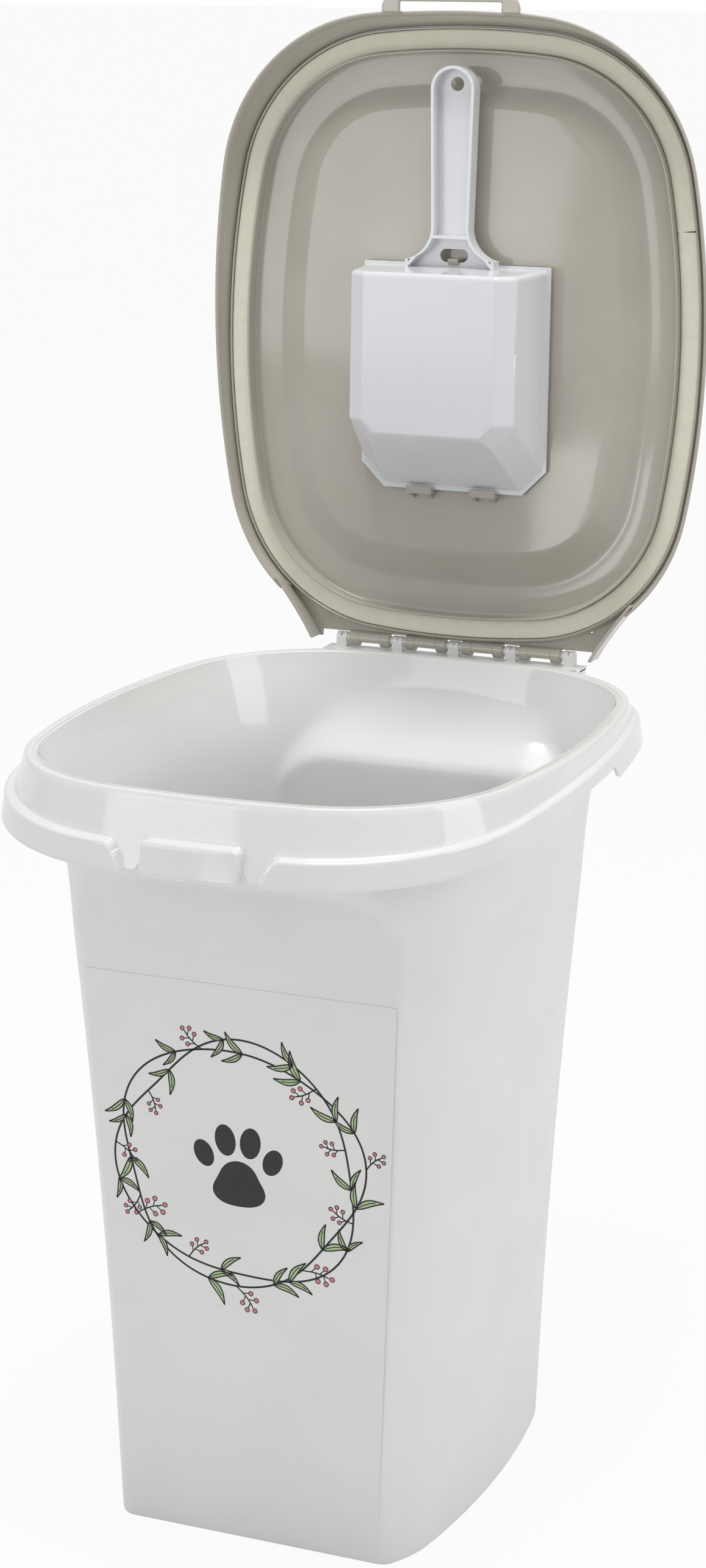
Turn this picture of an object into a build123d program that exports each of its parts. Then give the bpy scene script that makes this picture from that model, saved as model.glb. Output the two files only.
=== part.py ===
from build123d import *

import math
import os

# Pet food bin: a tapered tub with an overhanging rim, a hinged lid with a foam
# seal and a scoop stowed under the lid.  Millimetres, X across the front,
# Y from the front (-Y) to the hinge (+Y), Z up from the floor.
# The lid is made closed and then swung open to its stop.

# ---- driving dimensions: tub ------------------------------------------------
RIM_HEIGHT = 480.0          # floor to the top of the rim
RIM_HALF_WIDTH = 160.0      # outer edge of the rim's top
RIM_HALF_DEPTH = 194.5
RIM_CORNER_RADIUS = 106.0
RIM_SIDE_BOW = 8.0          # how far each side bows out beyond a plain rounded corner
RIM_END_BOW = 2.5
RIM_CORNER_X = RIM_HALF_WIDTH - RIM_CORNER_RADIUS - RIM_SIDE_BOW
RIM_CORNER_Y = RIM_HALF_DEPTH - RIM_CORNER_RADIUS - RIM_END_BOW
BASE_HALF_WIDTH = 107.8     # convex footprint before the flat panels cut it
BASE_HALF_DEPTH = 158.0
BASE_CORNER_RADIUS = 74.6
BASE_SIDE_BOW = 6.4
BASE_END_BOW = 1.5
BASE_CORNER_X = BASE_HALF_WIDTH - BASE_CORNER_RADIUS - BASE_SIDE_BOW
BASE_CORNER_Y = BASE_HALF_DEPTH - BASE_CORNER_RADIUS - BASE_END_BOW
WALL = 2.4                  # moulded wall
FLOOR_THICKNESS = 3.0
PANEL_FOOT_Y = 128.0        # flat front and rear panels, measured at the floor
PANEL_SLOPE = 0.0434        # how much they lean outwards per mm of height
PANEL_HALF_WIDTH = 108.0
PANEL_TOP_DROP = 64.0       # rim top down to the arch
PANEL_CORNER_RADIUS = 46.0
PANEL_EDGE_ANGLE = 44.0     # slope of the arch and of the panel's upright edges, degrees
PANEL_REACH = 60.0          # depth of the cut outside the panel
# levels as a share of the height, and how far each has grown from the footprint to the mouth
FLARE = [(0.0, 0.0), (0.25, 0.118), (0.5, 0.282), (0.75, 0.503), (0.896, 0.665), (1.0, 1.0)]
MOUTH_INSET = 5.4           # rim's outer edge to the tub wall's outer face at the mouth

# ---- driving dimensions: rim ------------------------------------------------
BAND_DRAFT = 16.0           # degrees
RIM_WALL = 2.2
STEP_FRONT_DROP = 28.0      # rim top down to the ledge, at the front
STEP_SIDE_DROP = 11.4
STEP_REAR_DROP = 9.8
LEDGE_OUT = 8.6             # ledge edge beyond the rim's top edge
LEDGE_SHIFT = 4.2           # the skirt sits this much further forward
SKIRT_DRAFT = 8.6           # degrees
SKIRT_HEIGHT = 16.4
TONGUE_DROP = 45.0          # lower edge of the band in the front notches
CLEFT_IN = 0.4              # small clefts beside the catch block
CLEFT_OUT = 6.5
CLEFT_RISE = 5.0
CLEFT_SLOPE = 1.0
CATCH_HALF_WIDTH = 29.0     # raised block that the lid's handle snaps over
CATCH_TOP_DROP = 23.6
NOTCH_TOP = 23.0            # width of the notch beside the block, at its top
NOTCH_FOOT = 12.0           # and how much of that is left far below
NOTCH_LEAD = 5.0            # rounded lead-in of the skirt's end
NOTCH_LEAD_TOP = 0.5
NOTCH_LEAD_DROP = 3.0
GRIP_FRONT_Y = -54.0        # finger grips cut into the lower edge of the skirt
GRIP_REAR_Y = 37.0
GRIP_RISE = 8.0
GROOVE_INSET = 5.0          # fine groove along the rim's top
GROOVE_WIDTH = 1.2
GROOVE_DEPTH = 0.8

# ---- driving dimensions: seal ------------------------------------------------
SEAL_GAP = 0.3              # seal above the rim when closed
SEAL_THICKNESS = 4.3
SEAL_OUTER = 0.2            # outer edge, in from the rim's outer edge
SEAL_WIDTH = 11.6
SEAL_JOINT_Y = -73.0        # butt joint of the strip, on the +X side
SEAL_JOINT = 1.6

# ---- driving dimensions: hinge ----------------------------------------------
HINGE_OUT = 8.1             # axis behind the rim's rear edge
AXIS_RISE = 0.2             # axis above the lid's underside when closed
ROD_RADIUS = 3.0
KNUCKLE_CLEARANCE = 0.08
KNUCKLE_WALL = 2.0
KNUCKLE_WIDTH = 28.5
KNUCKLE_COUNT = 4
KNUCKLE_WINDOW = 15.0
LUG_WIDTH = 7.0
LUG_SIDE_GAP = 2.15         # lug to knuckle along the rod
BRACKET_END = 10.4          # shelf past the outermost lugs
OPEN_ANGLE = 92.0           # closed to the open stop
BRACKET_CLEARANCE = 0.8     # bracket to the turning knuckles
BRACKET_WALL = 2.2
BRACKET_DEPTH = 16.0        # gussets and ribs below the shelf
GUSSET_LENGTH = 22.0
LUG_EDGE = 0.7              # lug round the rod
LUG_NOTCH_HALF = 4.6
LUG_NOTCH_DEPTH = 3.0
KNUCKLE_MOUTH_START = 30.0  # open stretch of the knuckle when closed, degrees up from +Y
KNUCKLE_MOUTH_END = 154.0
KNUCKLE_WINDOW_START = 290.0
HINGE_Y = RIM_HALF_DEPTH + HINGE_OUT
HINGE_Z = RIM_HEIGHT + SEAL_GAP + SEAL_THICKNESS + AXIS_RISE
LUG_RADIUS = ROD_RADIUS + LUG_EDGE
KNUCKLE_PITCH = KNUCKLE_WIDTH + LUG_WIDTH + 2 * LUG_SIDE_GAP
LUG_SPAN = KNUCKLE_COUNT * KNUCKLE_PITCH / 2
BRACKET_HALF_WIDTH = LUG_SPAN + BRACKET_END

# ---- driving dimensions: lid ------------------------------------------------
LID_WALL = 2.0
FLANGE_WALL = 2.2
FLANGE_OUT = 5.5            # flange's outer face beyond the rim's edge, level with it
LEDGE_GAP = 1.0             # flange above the ledge when closed
CHANNEL_CLEARANCE = 0.3
CHANNEL_OUTER_CLEARANCE = 0.9
CHANNEL_OUTER_WALL = 1.2
CHANNEL_OUTER_DEPTH = 5.2
CHANNEL_INNER_WALL = 1.6
CHANNEL_INNER_DEPTH = 9.4
STEP1_INSET = 33.0          # outer edge of the sunk panel's slope
STEP2_INSET = 53.0
STEP2_SHIFT = -4.0
PANEL_SINK = 7.0
HANDLE_SLOT_GAP = 5.0       # slot beside the catch block
HANDLE_SIDE = 12.0          # plate beside the slot
HANDLE_DROP = 26.0          # rim top down to the handle plate
HANDLE_OUT = 20.5           # handle bar's front beyond the rim's edge
HANDLE_CORNER = 7.0
HANDLE_THICKNESS = 3.0
HANDLE_BAR = 3.5
HANDLE_SLOT_HALF = CATCH_HALF_WIDTH + HANDLE_SLOT_GAP
HANDLE_HALF_WIDTH = HANDLE_SLOT_HALF + HANDLE_SIDE
EAR_GAP = 4.5               # ears beside the tub's bracket
EAR_WALL = 3.5
EAR_INNER_X = BRACKET_HALF_WIDTH + EAR_GAP
EAR_X = EAR_INNER_X + EAR_WALL
EAR_Y = HINGE_Y + 0.4
EAR_MID_X = EAR_X + 8.0
EAR_MID_Y = RIM_HALF_DEPTH - 4.0
EAR_START_X = RIM_HALF_WIDTH - 41.0     # where each ear leaves the flange
EAR_START_Y = RIM_HALF_DEPTH - 21.0
PLATE_HALF_WIDTH = LUG_SPAN - 0.6
PLATE_Y = HINGE_Y - ROD_RADIUS - 1.1
EAR_NOTCH = 7.0
HINGE_ROOM_Y = RIM_HALF_DEPTH - 10.5    # flange is cut away behind this, over the bracket
DISH_WALL_SHIFT = 1.6

# ---- driving dimensions: scoop ----------------------------------------------
SCOOP_PANEL_GAP = 3.1       # scoop's mouth below the lid's panel
SCOOP_DEPTH = 51.0
SCOOP_SIDE_DEPTH = 43.0     # depth at which the long edges are bevelled
SCOOP_MOUTH_HALF = 62.0
SCOOP_SIDE_HALF = 56.0
SCOOP_BACK_HALF = 45.0
SCOOP_REAR_Y = -46.5        # mouth's edge at the handle
SCOOP_LIP_Y = 96.5          # digging edge
SCOOP_BACK_Y0 = -44.5
SCOOP_BACK_Y1 = 58.0
SCOOP_CORNER = 15.0
SCOOP_BACK_CORNER = 9.0
CORNER_KEEP = 0.586         # share of a wall that a 45 degree corner cut loses
SCOOP_FILLET = 3.4
SCOOP_WALL = 1.6
SCOOP_LIP_OUT = 1.6
SCOOP_LIP_THICKNESS = 1.6
GRIP_HALF = 14.6            # half width of the handle
GRIP_END_Y = -172.5
GRIP_FLOOR_DROP = 5.0       # handle floor below the scoop's mouth
GRIP_WALL_HEIGHT = 11.0
GRIP_WALL = 1.9
GRIP_FLARE_HALF = 30.0
GRIP_FLARE_Y = -63.0
GRIP_FLARE_LENGTH = 12.0
GRIP_NECK_HALF = 12.6
GRIP_NECK_Y = -72.0
GRIP_RIB_Y = -66.5
HANG_HOLE_RADIUS = 4.4
HANG_HOLE_Y = -161.0
SLOT_HALF = 9.5
SLOT_RADIUS = 4.2
SLOT_Y = -53.6

# ---- driving dimensions: holders for the scoop ------------------------------
HOLD_GAP = 0.3
HOOK_X = 21.8
HOOK_HALF = 8.7
HOOK_OVERLAP = 2.0
HOOK_BAR = 2.4
HOOK_REACH = 4.2
LIFT_ANGLE = 35.0           # scoop leaves the hooks at this angle to the panel
LATCH_HALF = 3.4
LATCH_THICKNESS = 1.8
LATCH_LIP = 2.2

# ---- driving dimensions: label film -----------------------------------------
FILM_THICKNESS = 0.3
FILM_DROP = 61.0            # below the panel's arch
FILM_FOOT = 28.0
FILM_MARGIN = 10.0          # inside the panel's upright edges
FILM_TAPER = 16.0           # each side, from its top to its foot
FILM_TOP = RIM_HEIGHT - PANEL_TOP_DROP - FILM_DROP
FILM_TOP_HALF = PANEL_HALF_WIDTH - FILM_MARGIN
FILM_FOOT_HALF = FILM_TOP_HALF - FILM_TAPER

LEDGE_RUNOUT = 60.0         # slabs on the ledge's curve run this far past the rim
RIM_BLANK = 80.0            # rim's forms run this far down before the ledge's curve trims them
CUT_PAST = 20.0             # cutting forms run this far past what they cut
PARTS = "parts"


def arc_outline(a, b, corner, cx, cy, z, shift=0.0):
    """Closed outline of eight tangent arcs: bowed ends, bowed sides, round corners."""
    end_r = (cx**2 + (b - cy) ** 2 - corner**2) / (2 * (b - cy - corner))
    side_r = (cy**2 + (a - cx) ** 2 - corner**2) / (2 * (a - cx - corner))
    end_angle = math.atan2(cy - (b - end_r), cx)
    side_angle = math.atan2(cy, cx - (a - side_r))
    mid = 0.5 * (end_angle + side_angle)
    p_end = (cx + corner * math.cos(end_angle), cy + corner * math.sin(end_angle))
    p_mid = (cx + corner * math.cos(mid), cy + corner * math.sin(mid))
    p_side = (cx + corner * math.cos(side_angle), cy + corner * math.sin(side_angle))

    def at(point, sx, sy):
        return Vector(sx * point[0], sy * point[1] + shift, z)

    runs = [
        (at(p_side, 1, -1), at((a, 0), 1, 1), at(p_side, 1, 1)),
        (at(p_side, 1, 1), at(p_mid, 1, 1), at(p_end, 1, 1)),
        (at(p_end, 1, 1), at((0, b), 1, 1), at(p_end, -1, 1)),
        (at(p_end, -1, 1), at(p_mid, -1, 1), at(p_side, -1, 1)),
        (at(p_side, -1, 1), at((a, 0), -1, 1), at(p_side, -1, -1)),
        (at(p_side, -1, -1), at(p_mid, -1, -1), at(p_end, -1, -1)),
        (at(p_end, -1, -1), at((0, b), -1, -1), at(p_end, 1, -1)),
        (at(p_end, 1, -1), at(p_mid, 1, -1), at(p_side, 1, -1)),
    ]
    edges = [Edge.make_three_point_arc(*run) for run in runs]
    return Face(Wire(edges))


def rim_outline(out, z, shift=0.0):
    """Rim's outline grown by out, at height z."""
    return arc_outline(
        RIM_HALF_WIDTH + out,
        RIM_HALF_DEPTH + out,
        RIM_CORNER_RADIUS + out,
        RIM_CORNER_X,
        RIM_CORNER_Y,
        z,
        shift,
    )


def cone(out_top, z_top, z_foot, draft, shift=0.0):
    """Drafted solid on the rim's outline, wider at its foot."""
    out_foot = out_top + (z_top - z_foot) * math.tan(math.radians(draft))
    return loft([rim_outline(out_top, z_top, shift), rim_outline(out_foot, z_foot, shift)], ruled=True)


def body_outline(z, grown, inset):
    """Tub's convex outline at height z, inset from its outer face."""
    mouth = (
        RIM_HALF_WIDTH - MOUTH_INSET,
        RIM_HALF_DEPTH - MOUTH_INSET,
        RIM_CORNER_RADIUS - MOUTH_INSET,
        RIM_CORNER_X,
        RIM_CORNER_Y,
    )
    foot = (BASE_HALF_WIDTH, BASE_HALF_DEPTH, BASE_CORNER_RADIUS, BASE_CORNER_X, BASE_CORNER_Y)
    a, b, corner, cx, cy = (f + (m - f) * grown for f, m in zip(foot, mouth))
    return arc_outline(a - inset, b - inset, corner - inset, cx, cy, z)


def prism_x(points, half_width):
    """Solid from a closed YZ polygon, carried along X to both sides."""
    face = Face(Wire.make_polygon([Vector(0, y, z) for y, z in points], close=True))
    return extrude(face, amount=half_width, dir=(1, 0, 0), both=True)


def prism_y(points, y0, y1):
    """Solid from a closed XZ polygon between two Y values."""
    face = Face(Wire.make_polygon([Vector(x, y0, z) for x, z in points], close=True))
    return extrude(face, amount=y1 - y0, dir=(0, 1, 0))


def block(x0, x1, y0, y1, z0, z1):
    """Plain box between two corners."""
    return Pos((x0 + x1) / 2, (y0 + y1) / 2, (z0 + z1) / 2) * Box(x1 - x0, y1 - y0, z1 - z0)


def single(shape):
    """Largest solid of a shape, in case a cut leaves loose slivers."""
    return sorted(shape.solids(), key=lambda s: s.volume)[-1]


# ---- tub ---------------------------------------------------------------------
def panel_cut(side, grow):
    """Solid outside one flat panel, under its arch; grow moves it inwards by a wall."""
    half = PANEL_HALF_WIDTH + grow
    top = RIM_HEIGHT - PANEL_TOP_DROP + grow
    radius = PANEL_CORNER_RADIUS + grow
    tilt = math.degrees(math.atan(PANEL_SLOPE))
    foot_y = PANEL_FOOT_Y - grow
    arch = Sketch() + Pos(0, (top - 2 * CUT_PAST) / 2) * Rectangle(2 * half, top + 2 * CUT_PAST)
    arch = fillet(arch.vertices().sort_by(Axis.Y)[-2:], radius)
    wall_plane = Plane(origin=(0, -foot_y, 0), x_dir=(1, 0, 0), z_dir=(0, -1, 0)).rotated((tilt, 0, 0))
    cut = extrude(wall_plane * arch, amount=PANEL_REACH, taper=-PANEL_EDGE_ANGLE)
    if side > 0:
        cut = cut.mirror(Plane.XZ)
    return cut


def body_solid(inset, floor):
    """Tub's convex body with both flat panels cut, inset from the outer face."""
    levels = [body_outline(max(share * RIM_HEIGHT, floor), grown, inset) for share, grown in FLARE]
    solid = loft(levels)
    for side in (-1, 1):
        solid = solid - panel_cut(side, inset)
    return single(solid)


def below_ledge(drop):
    """Slab whose top follows the ledge's curve, drop below it."""
    y_front = -RIM_HALF_DEPTH - LEDGE_OUT - LEDGE_SHIFT
    y_rear = RIM_HALF_DEPTH + LEDGE_OUT - LEDGE_SHIFT
    front = Vector(0, y_front, RIM_HEIGHT - STEP_FRONT_DROP - drop)
    side = Vector(0, 0, RIM_HEIGHT - STEP_SIDE_DROP - drop)
    rear = Vector(0, y_rear, RIM_HEIGHT - STEP_REAR_DROP - drop)
    curve = Edge.make_three_point_arc(front, side, rear)
    start = front - curve.tangent_at(0) * LEDGE_RUNOUT
    end = rear + curve.tangent_at(1) * LEDGE_RUNOUT
    foot = RIM_HEIGHT - 4 * STEP_FRONT_DROP - drop
    edges = [
        Edge.make_line(start, front),
        curve,
        Edge.make_line(rear, end),
        Edge.make_line(end, Vector(0, end.Y, foot)),
        Edge.make_line(Vector(0, end.Y, foot), Vector(0, start.Y, foot)),
        Edge.make_line(Vector(0, start.Y, foot), start),
    ]
    return extrude(Face(Wire(edges)), amount=2 * RIM_HALF_WIDTH, dir=(1, 0, 0), both=True)


def notch_cuts(grow):
    """Prisms of the two notches beside the front catch block, widened by grow."""
    top = RIM_HEIGHT - STEP_SIDE_DROP
    foot = RIM_HEIGHT - TONGUE_DROP - CUT_PAST
    y0 = -RIM_HALF_DEPTH - 2 * CUT_PAST
    y1 = -RIM_HALF_DEPTH + CUT_PAST
    ledge = RIM_HEIGHT - STEP_FRONT_DROP
    cuts = []
    for side in (-1, 1):
        inner = CATCH_HALF_WIDTH - grow
        outer = CATCH_HALF_WIDTH + NOTCH_TOP + grow
        points = [
            (side * inner, foot),
            (side * inner, top),
            (side * outer, top),
            (side * outer, ledge - NOTCH_LEAD_TOP),
            (side * (outer - NOTCH_LEAD), ledge - NOTCH_LEAD_DROP),
            (side * (outer - NOTCH_TOP + NOTCH_FOOT), foot),
        ]
        cuts.append(prism_y(points, y0, y1))
    return cuts


def skirt_solid(inset):
    """Skirt under the ledge and the catch block, inset from their outer faces."""
    z_foot = RIM_HEIGHT - RIM_BLANK
    flare = math.tan(math.radians(SKIRT_DRAFT))
    out = LEDGE_OUT - inset
    skirt = cone(out - STEP_SIDE_DROP * flare, RIM_HEIGHT, z_foot, SKIRT_DRAFT, -LEDGE_SHIFT)
    half = CATCH_HALF_WIDTH - inset
    y_front = -RIM_HALF_DEPTH
    z_catch = RIM_HEIGHT - CATCH_TOP_DROP - inset
    catch = skirt & block(-half, half, y_front - 2 * CUT_PAST, y_front + 3 * CUT_PAST, z_foot, z_catch)
    shell = skirt & below_ledge(inset)
    for cut in notch_cuts(inset):
        shell = shell - cut
    return shell + catch


def rim_envelope(inset):
    """Everything inside the rim's outer faces, inset by a wall."""
    z_top = RIM_HEIGHT - inset
    flare = math.tan(math.radians(BAND_DRAFT))
    band = cone(inset * (flare - 1.0), z_top, RIM_HEIGHT - RIM_BLANK + 10.0, BAND_DRAFT)
    return band + skirt_solid(inset)


def ring(outer_inset, inner_inset, z0, z1):
    """Upright ring on the rim's outline, between two insets from its outer edge."""
    outer = extrude(rim_outline(-outer_inset, z0), amount=z1 - z0, dir=(0, 0, 1))
    inner = extrude(rim_outline(-inner_inset, z0), amount=z1 - z0, dir=(0, 0, 1))
    return outer - inner


def knuckle_centres():
    """X of each lid knuckle."""
    first = -KNUCKLE_PITCH * (KNUCKLE_COUNT - 1) / 2
    return [first + KNUCKLE_PITCH * i for i in range(KNUCKLE_COUNT)]


def lug_centres():
    """X of each lug that carries the rod: beside and between the knuckles."""
    first = -KNUCKLE_PITCH * KNUCKLE_COUNT / 2
    return [first + KNUCKLE_PITCH * i for i in range(KNUCKLE_COUNT + 1)]


def with_hinge(rim):
    """Rim with the shelf, gussets, lugs and rod of the hinge moulded on behind it."""
    axis_z = HINGE_Z
    swing = ROD_RADIUS + KNUCKLE_CLEARANCE + KNUCKLE_WALL + BRACKET_CLEARANCE
    shelf_top = axis_z - swing
    shelf_foot = shelf_top - BRACKET_WALL
    y_front = RIM_HALF_DEPTH - GUSSET_LENGTH
    y_rear = HINGE_Y + LUG_RADIUS
    along_x = Rot(0, 90, 0)
    rim = rim + block(-BRACKET_HALF_WIDTH, BRACKET_HALF_WIDTH, y_front, y_rear, shelf_foot, shelf_top)
    rib = prism_x(
        [
            (y_front, shelf_top - BRACKET_WALL / 2),
            (y_rear - BRACKET_WALL, shelf_top - BRACKET_WALL / 2),
            (y_rear - BRACKET_WALL, shelf_foot - BRACKET_WALL),
            (y_front, shelf_top - BRACKET_DEPTH),
        ],
        BRACKET_WALL / 2,
    )
    end_x = BRACKET_HALF_WIDTH - BRACKET_WALL / 2
    for x in lug_centres() + [-end_x, end_x]:
        rim = rim + Pos(x, 0, 0) * rib
    lug = block(
        -LUG_WIDTH / 2, LUG_WIDTH / 2, HINGE_Y - LUG_RADIUS, y_rear, shelf_top - BRACKET_WALL / 2, axis_z
    )
    lug = lug + Pos(0, HINGE_Y, axis_z) * along_x * Cylinder(LUG_RADIUS, LUG_WIDTH)
    for x in lug_centres():
        rim = rim + Pos(x, 0, 0) * lug
    for x in knuckle_centres():
        rod = along_x * Cylinder(ROD_RADIUS, KNUCKLE_PITCH - LUG_WIDTH / 2)
        rim = rim + Pos(x, HINGE_Y, axis_z) * rod
    top = axis_z + LUG_RADIUS
    notch = prism_y(
        [
            (-LUG_NOTCH_HALF, top + 1),
            (-LUG_NOTCH_HALF, top),
            (0, top - LUG_NOTCH_DEPTH),
            (LUG_NOTCH_HALF, top),
            (LUG_NOTCH_HALF, top + 1),
        ],
        HINGE_Y - 2 * LUG_RADIUS,
        HINGE_Y + 2 * LUG_RADIUS,
    )
    for x in lug_centres():
        rim = rim - Pos(x, 0, 0) * notch
    return rim


def tub():
    """Tub with its rim, catch block, finger grips and hinge rod: one moulding."""
    outer = body_solid(0.0, 0.0)
    inner = body_solid(WALL, FLOOR_THICKNESS)
    sheet = rim_envelope(0.0) - rim_envelope(RIM_WALL) - below_ledge(SKIRT_HEIGHT)
    reach = 2 * RIM_HALF_WIDTH
    grips = block(-reach, reach, GRIP_FRONT_Y, GRIP_REAR_Y, 0, RIM_HEIGHT)
    sheet = sheet - (grips & below_ledge(SKIRT_HEIGHT - GRIP_RISE))
    for side in (-1, 1):
        x0 = side * (CATCH_HALF_WIDTH + CLEFT_IN)
        x1 = side * (CATCH_HALF_WIDTH + CLEFT_OUT)
        z0 = RIM_HEIGHT - TONGUE_DROP - CLEFT_RISE
        z1 = z0 + 2 * CLEFT_RISE
        cleft = [(x0, z0), (x0, z1), (x1, z1 - CLEFT_SLOPE), (x1, z0)]
        sheet = sheet - prism_y(cleft, -RIM_HALF_DEPTH - LEDGE_RUNOUT, -RIM_HALF_DEPTH)
    mouth = extrude(inner.faces().sort_by(Axis.Z)[-1], amount=CUT_PAST, dir=(0, 0, 1))
    body = outer + with_hinge(sheet)
    body = body - inner - mouth
    groove_foot = RIM_HEIGHT - GROOVE_DEPTH
    body = body - ring(GROOVE_INSET, GROOVE_INSET + GROOVE_WIDTH, groove_foot, RIM_HEIGHT + GROOVE_DEPTH)
    return single(body)


# ---- lid, made closed -----------------------------------------------------------
LID_UNDER = RIM_HEIGHT + SEAL_GAP + SEAL_THICKNESS
LID_TOP = LID_UNDER + LID_WALL
PANEL_UNDER = LID_UNDER - PANEL_SINK


def lid_plan(z, height, inset):
    """Upright solid on the lid's plan, with its two ears, inset from the flange's foot."""
    points = [
        (EAR_START_X - inset, EAR_START_Y - inset * 0.6),
        (EAR_MID_X - inset, EAR_MID_Y),
        (EAR_X - inset, EAR_Y + 0.01 * inset),
    ]
    curve = Edge.make_spline([Vector(x, y, z) for x, y in points])
    far = points[-1]
    near = points[0]
    edges = [
        curve,
        Edge.make_line(Vector(far[0], far[1], z), Vector(-far[0], far[1], z)),
        Edge.make_spline([Vector(-x, y, z) for x, y in reversed(points)]),
        Edge.make_line(Vector(-near[0], near[1], z), Vector(near[0], near[1], z)),
    ]
    return extrude(Face(Wire(edges)), amount=height, dir=(0, 0, 1))


def lid_envelope(inset, z_top, z_foot):
    """Everything inside the lid's flange and ears, inset by a wall."""
    flare = math.tan(math.radians(BAND_DRAFT))
    out = FLANGE_OUT + (RIM_HEIGHT - z_top) * flare - inset
    skirt = cone(out, z_top, z_foot, BAND_DRAFT)
    return skirt + lid_plan(z_foot, z_top - z_foot, inset)


def wedge(radius, start, end, half_width):
    """Sector about the hinge axis, from start to end degrees, measured from +Y towards +Z."""
    middle = 0.5 * (start + end)
    angles = [math.radians(a) for a in (start, 0.5 * (start + middle), middle, 0.5 * (middle + end), end)]
    points = [(0, 0)] + [(radius * math.cos(a), radius * math.sin(a)) for a in angles]
    return prism_x(points, half_width)


def knuckle(x):
    """C-shaped knuckle under the rod, with a window, on the lid's rear edge."""
    bore = ROD_RADIUS + KNUCKLE_CLEARANCE
    outer = bore + KNUCKLE_WALL
    along_x = Rot(0, 90, 0)
    shape = along_x * Cylinder(outer, KNUCKLE_WIDTH) - along_x * Cylinder(bore, 2 * KNUCKLE_WIDTH)
    shape = shape - wedge(3 * outer, KNUCKLE_MOUTH_START, KNUCKLE_MOUTH_END, KNUCKLE_WIDTH)
    shape = shape - wedge(3 * outer, KNUCKLE_WINDOW_START, KNUCKLE_MOUTH_START + 360, KNUCKLE_WINDOW / 2)
    return Pos(x, HINGE_Y, HINGE_Z) * shape


def dish(high_z, low_z, grow):
    """Solid that fills the lid's sunk panel from its rim down, grown by a wall."""
    high = rim_outline(-STEP1_INSET + grow, high_z)
    low = rim_outline(-STEP2_INSET + grow, low_z, STEP2_SHIFT)
    return loft([high, low], ruled=True)


def end_sag(x):
    """How far the rim's bowed front has fallen back at x from its middle."""
    rise = RIM_HALF_DEPTH - RIM_CORNER_Y
    radius = (RIM_CORNER_X**2 + rise**2 - RIM_CORNER_RADIUS**2) / (2 * (rise - RIM_CORNER_RADIUS))
    return radius - math.sqrt(radius**2 - x**2)


def handle_loop():
    """Pull at the front: a plate with a slot that drops over the catch block."""
    z_top = RIM_HEIGHT - HANDLE_DROP
    z_mid = z_top - HANDLE_THICKNESS / 2
    spread = HANDLE_DROP * math.tan(math.radians(BAND_DRAFT))
    root = FLANGE_OUT + spread - FLANGE_WALL / 2 - end_sag(HANDLE_HALF_WIDTH)
    y_back = -RIM_HALF_DEPTH - root
    y_front = -RIM_HALF_DEPTH - HANDLE_OUT
    plate = Pos(0, (y_back + y_front) / 2, z_mid) * Box(
        2 * HANDLE_HALF_WIDTH, y_back - y_front, HANDLE_THICKNESS
    )
    corners = plate.edges().filter_by(Axis.Z).group_by(Axis.Y)[0]
    plate = fillet(corners, HANDLE_CORNER)
    rounded = plate.faces().sort_by(Axis.Y)[0].edges().filter_by(Axis.X)
    return fillet(rounded, HANDLE_THICKNESS * 0.4)


def handle_slot():
    """Room for the catch block: through the handle's plate and the flange above it."""
    y0 = -RIM_HALF_DEPTH - HANDLE_OUT + HANDLE_BAR
    y1 = -RIM_HALF_DEPTH
    z_foot = RIM_HEIGHT - HANDLE_DROP - CUT_PAST
    z_top = RIM_HEIGHT - CATCH_TOP_DROP + LEDGE_GAP
    return block(-HANDLE_SLOT_HALF, HANDLE_SLOT_HALF, y0, y1, z_foot, z_top)


def scoop_hook(x):
    """Lower holder: a bar under the scoop's lip, with a wall and two gussets."""
    mouth_z = PANEL_UNDER - SCOOP_PANEL_GAP
    lip_y = SCOOP_LIP_Y + SCOOP_LIP_OUT
    slope = math.tan(math.radians(LIFT_ANGLE))
    y0 = lip_y - HOOK_OVERLAP
    y1 = lip_y + HOLD_GAP
    y2 = y1 + HOOK_BAR
    z_lip = mouth_z - SCOOP_LIP_THICKNESS - HOLD_GAP
    z_low = z_lip - (y1 - y0) * slope - HOOK_BAR
    z_root = PANEL_UNDER
    z_tip = z_lip - (y1 - y0) * slope
    section = [(y1, z_root), (y1, z_lip), (y0, z_tip), (y0, z_low), (y2, z_low), (y2, z_root)]
    hook = prism_x(section, HOOK_HALF)
    brace = [(y2 - HOOK_BAR / 2, z_low), (y2, z_low), (y2 + HOOK_REACH, z_root), (y1, z_root)]
    gusset = prism_x(brace, HOOK_BAR / 3)
    for side in (-1, 1):
        hook = hook + Pos(side * (HOOK_HALF - HOOK_BAR), 0, 0) * gusset
    return Pos(x, 0, 0) * hook


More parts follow.
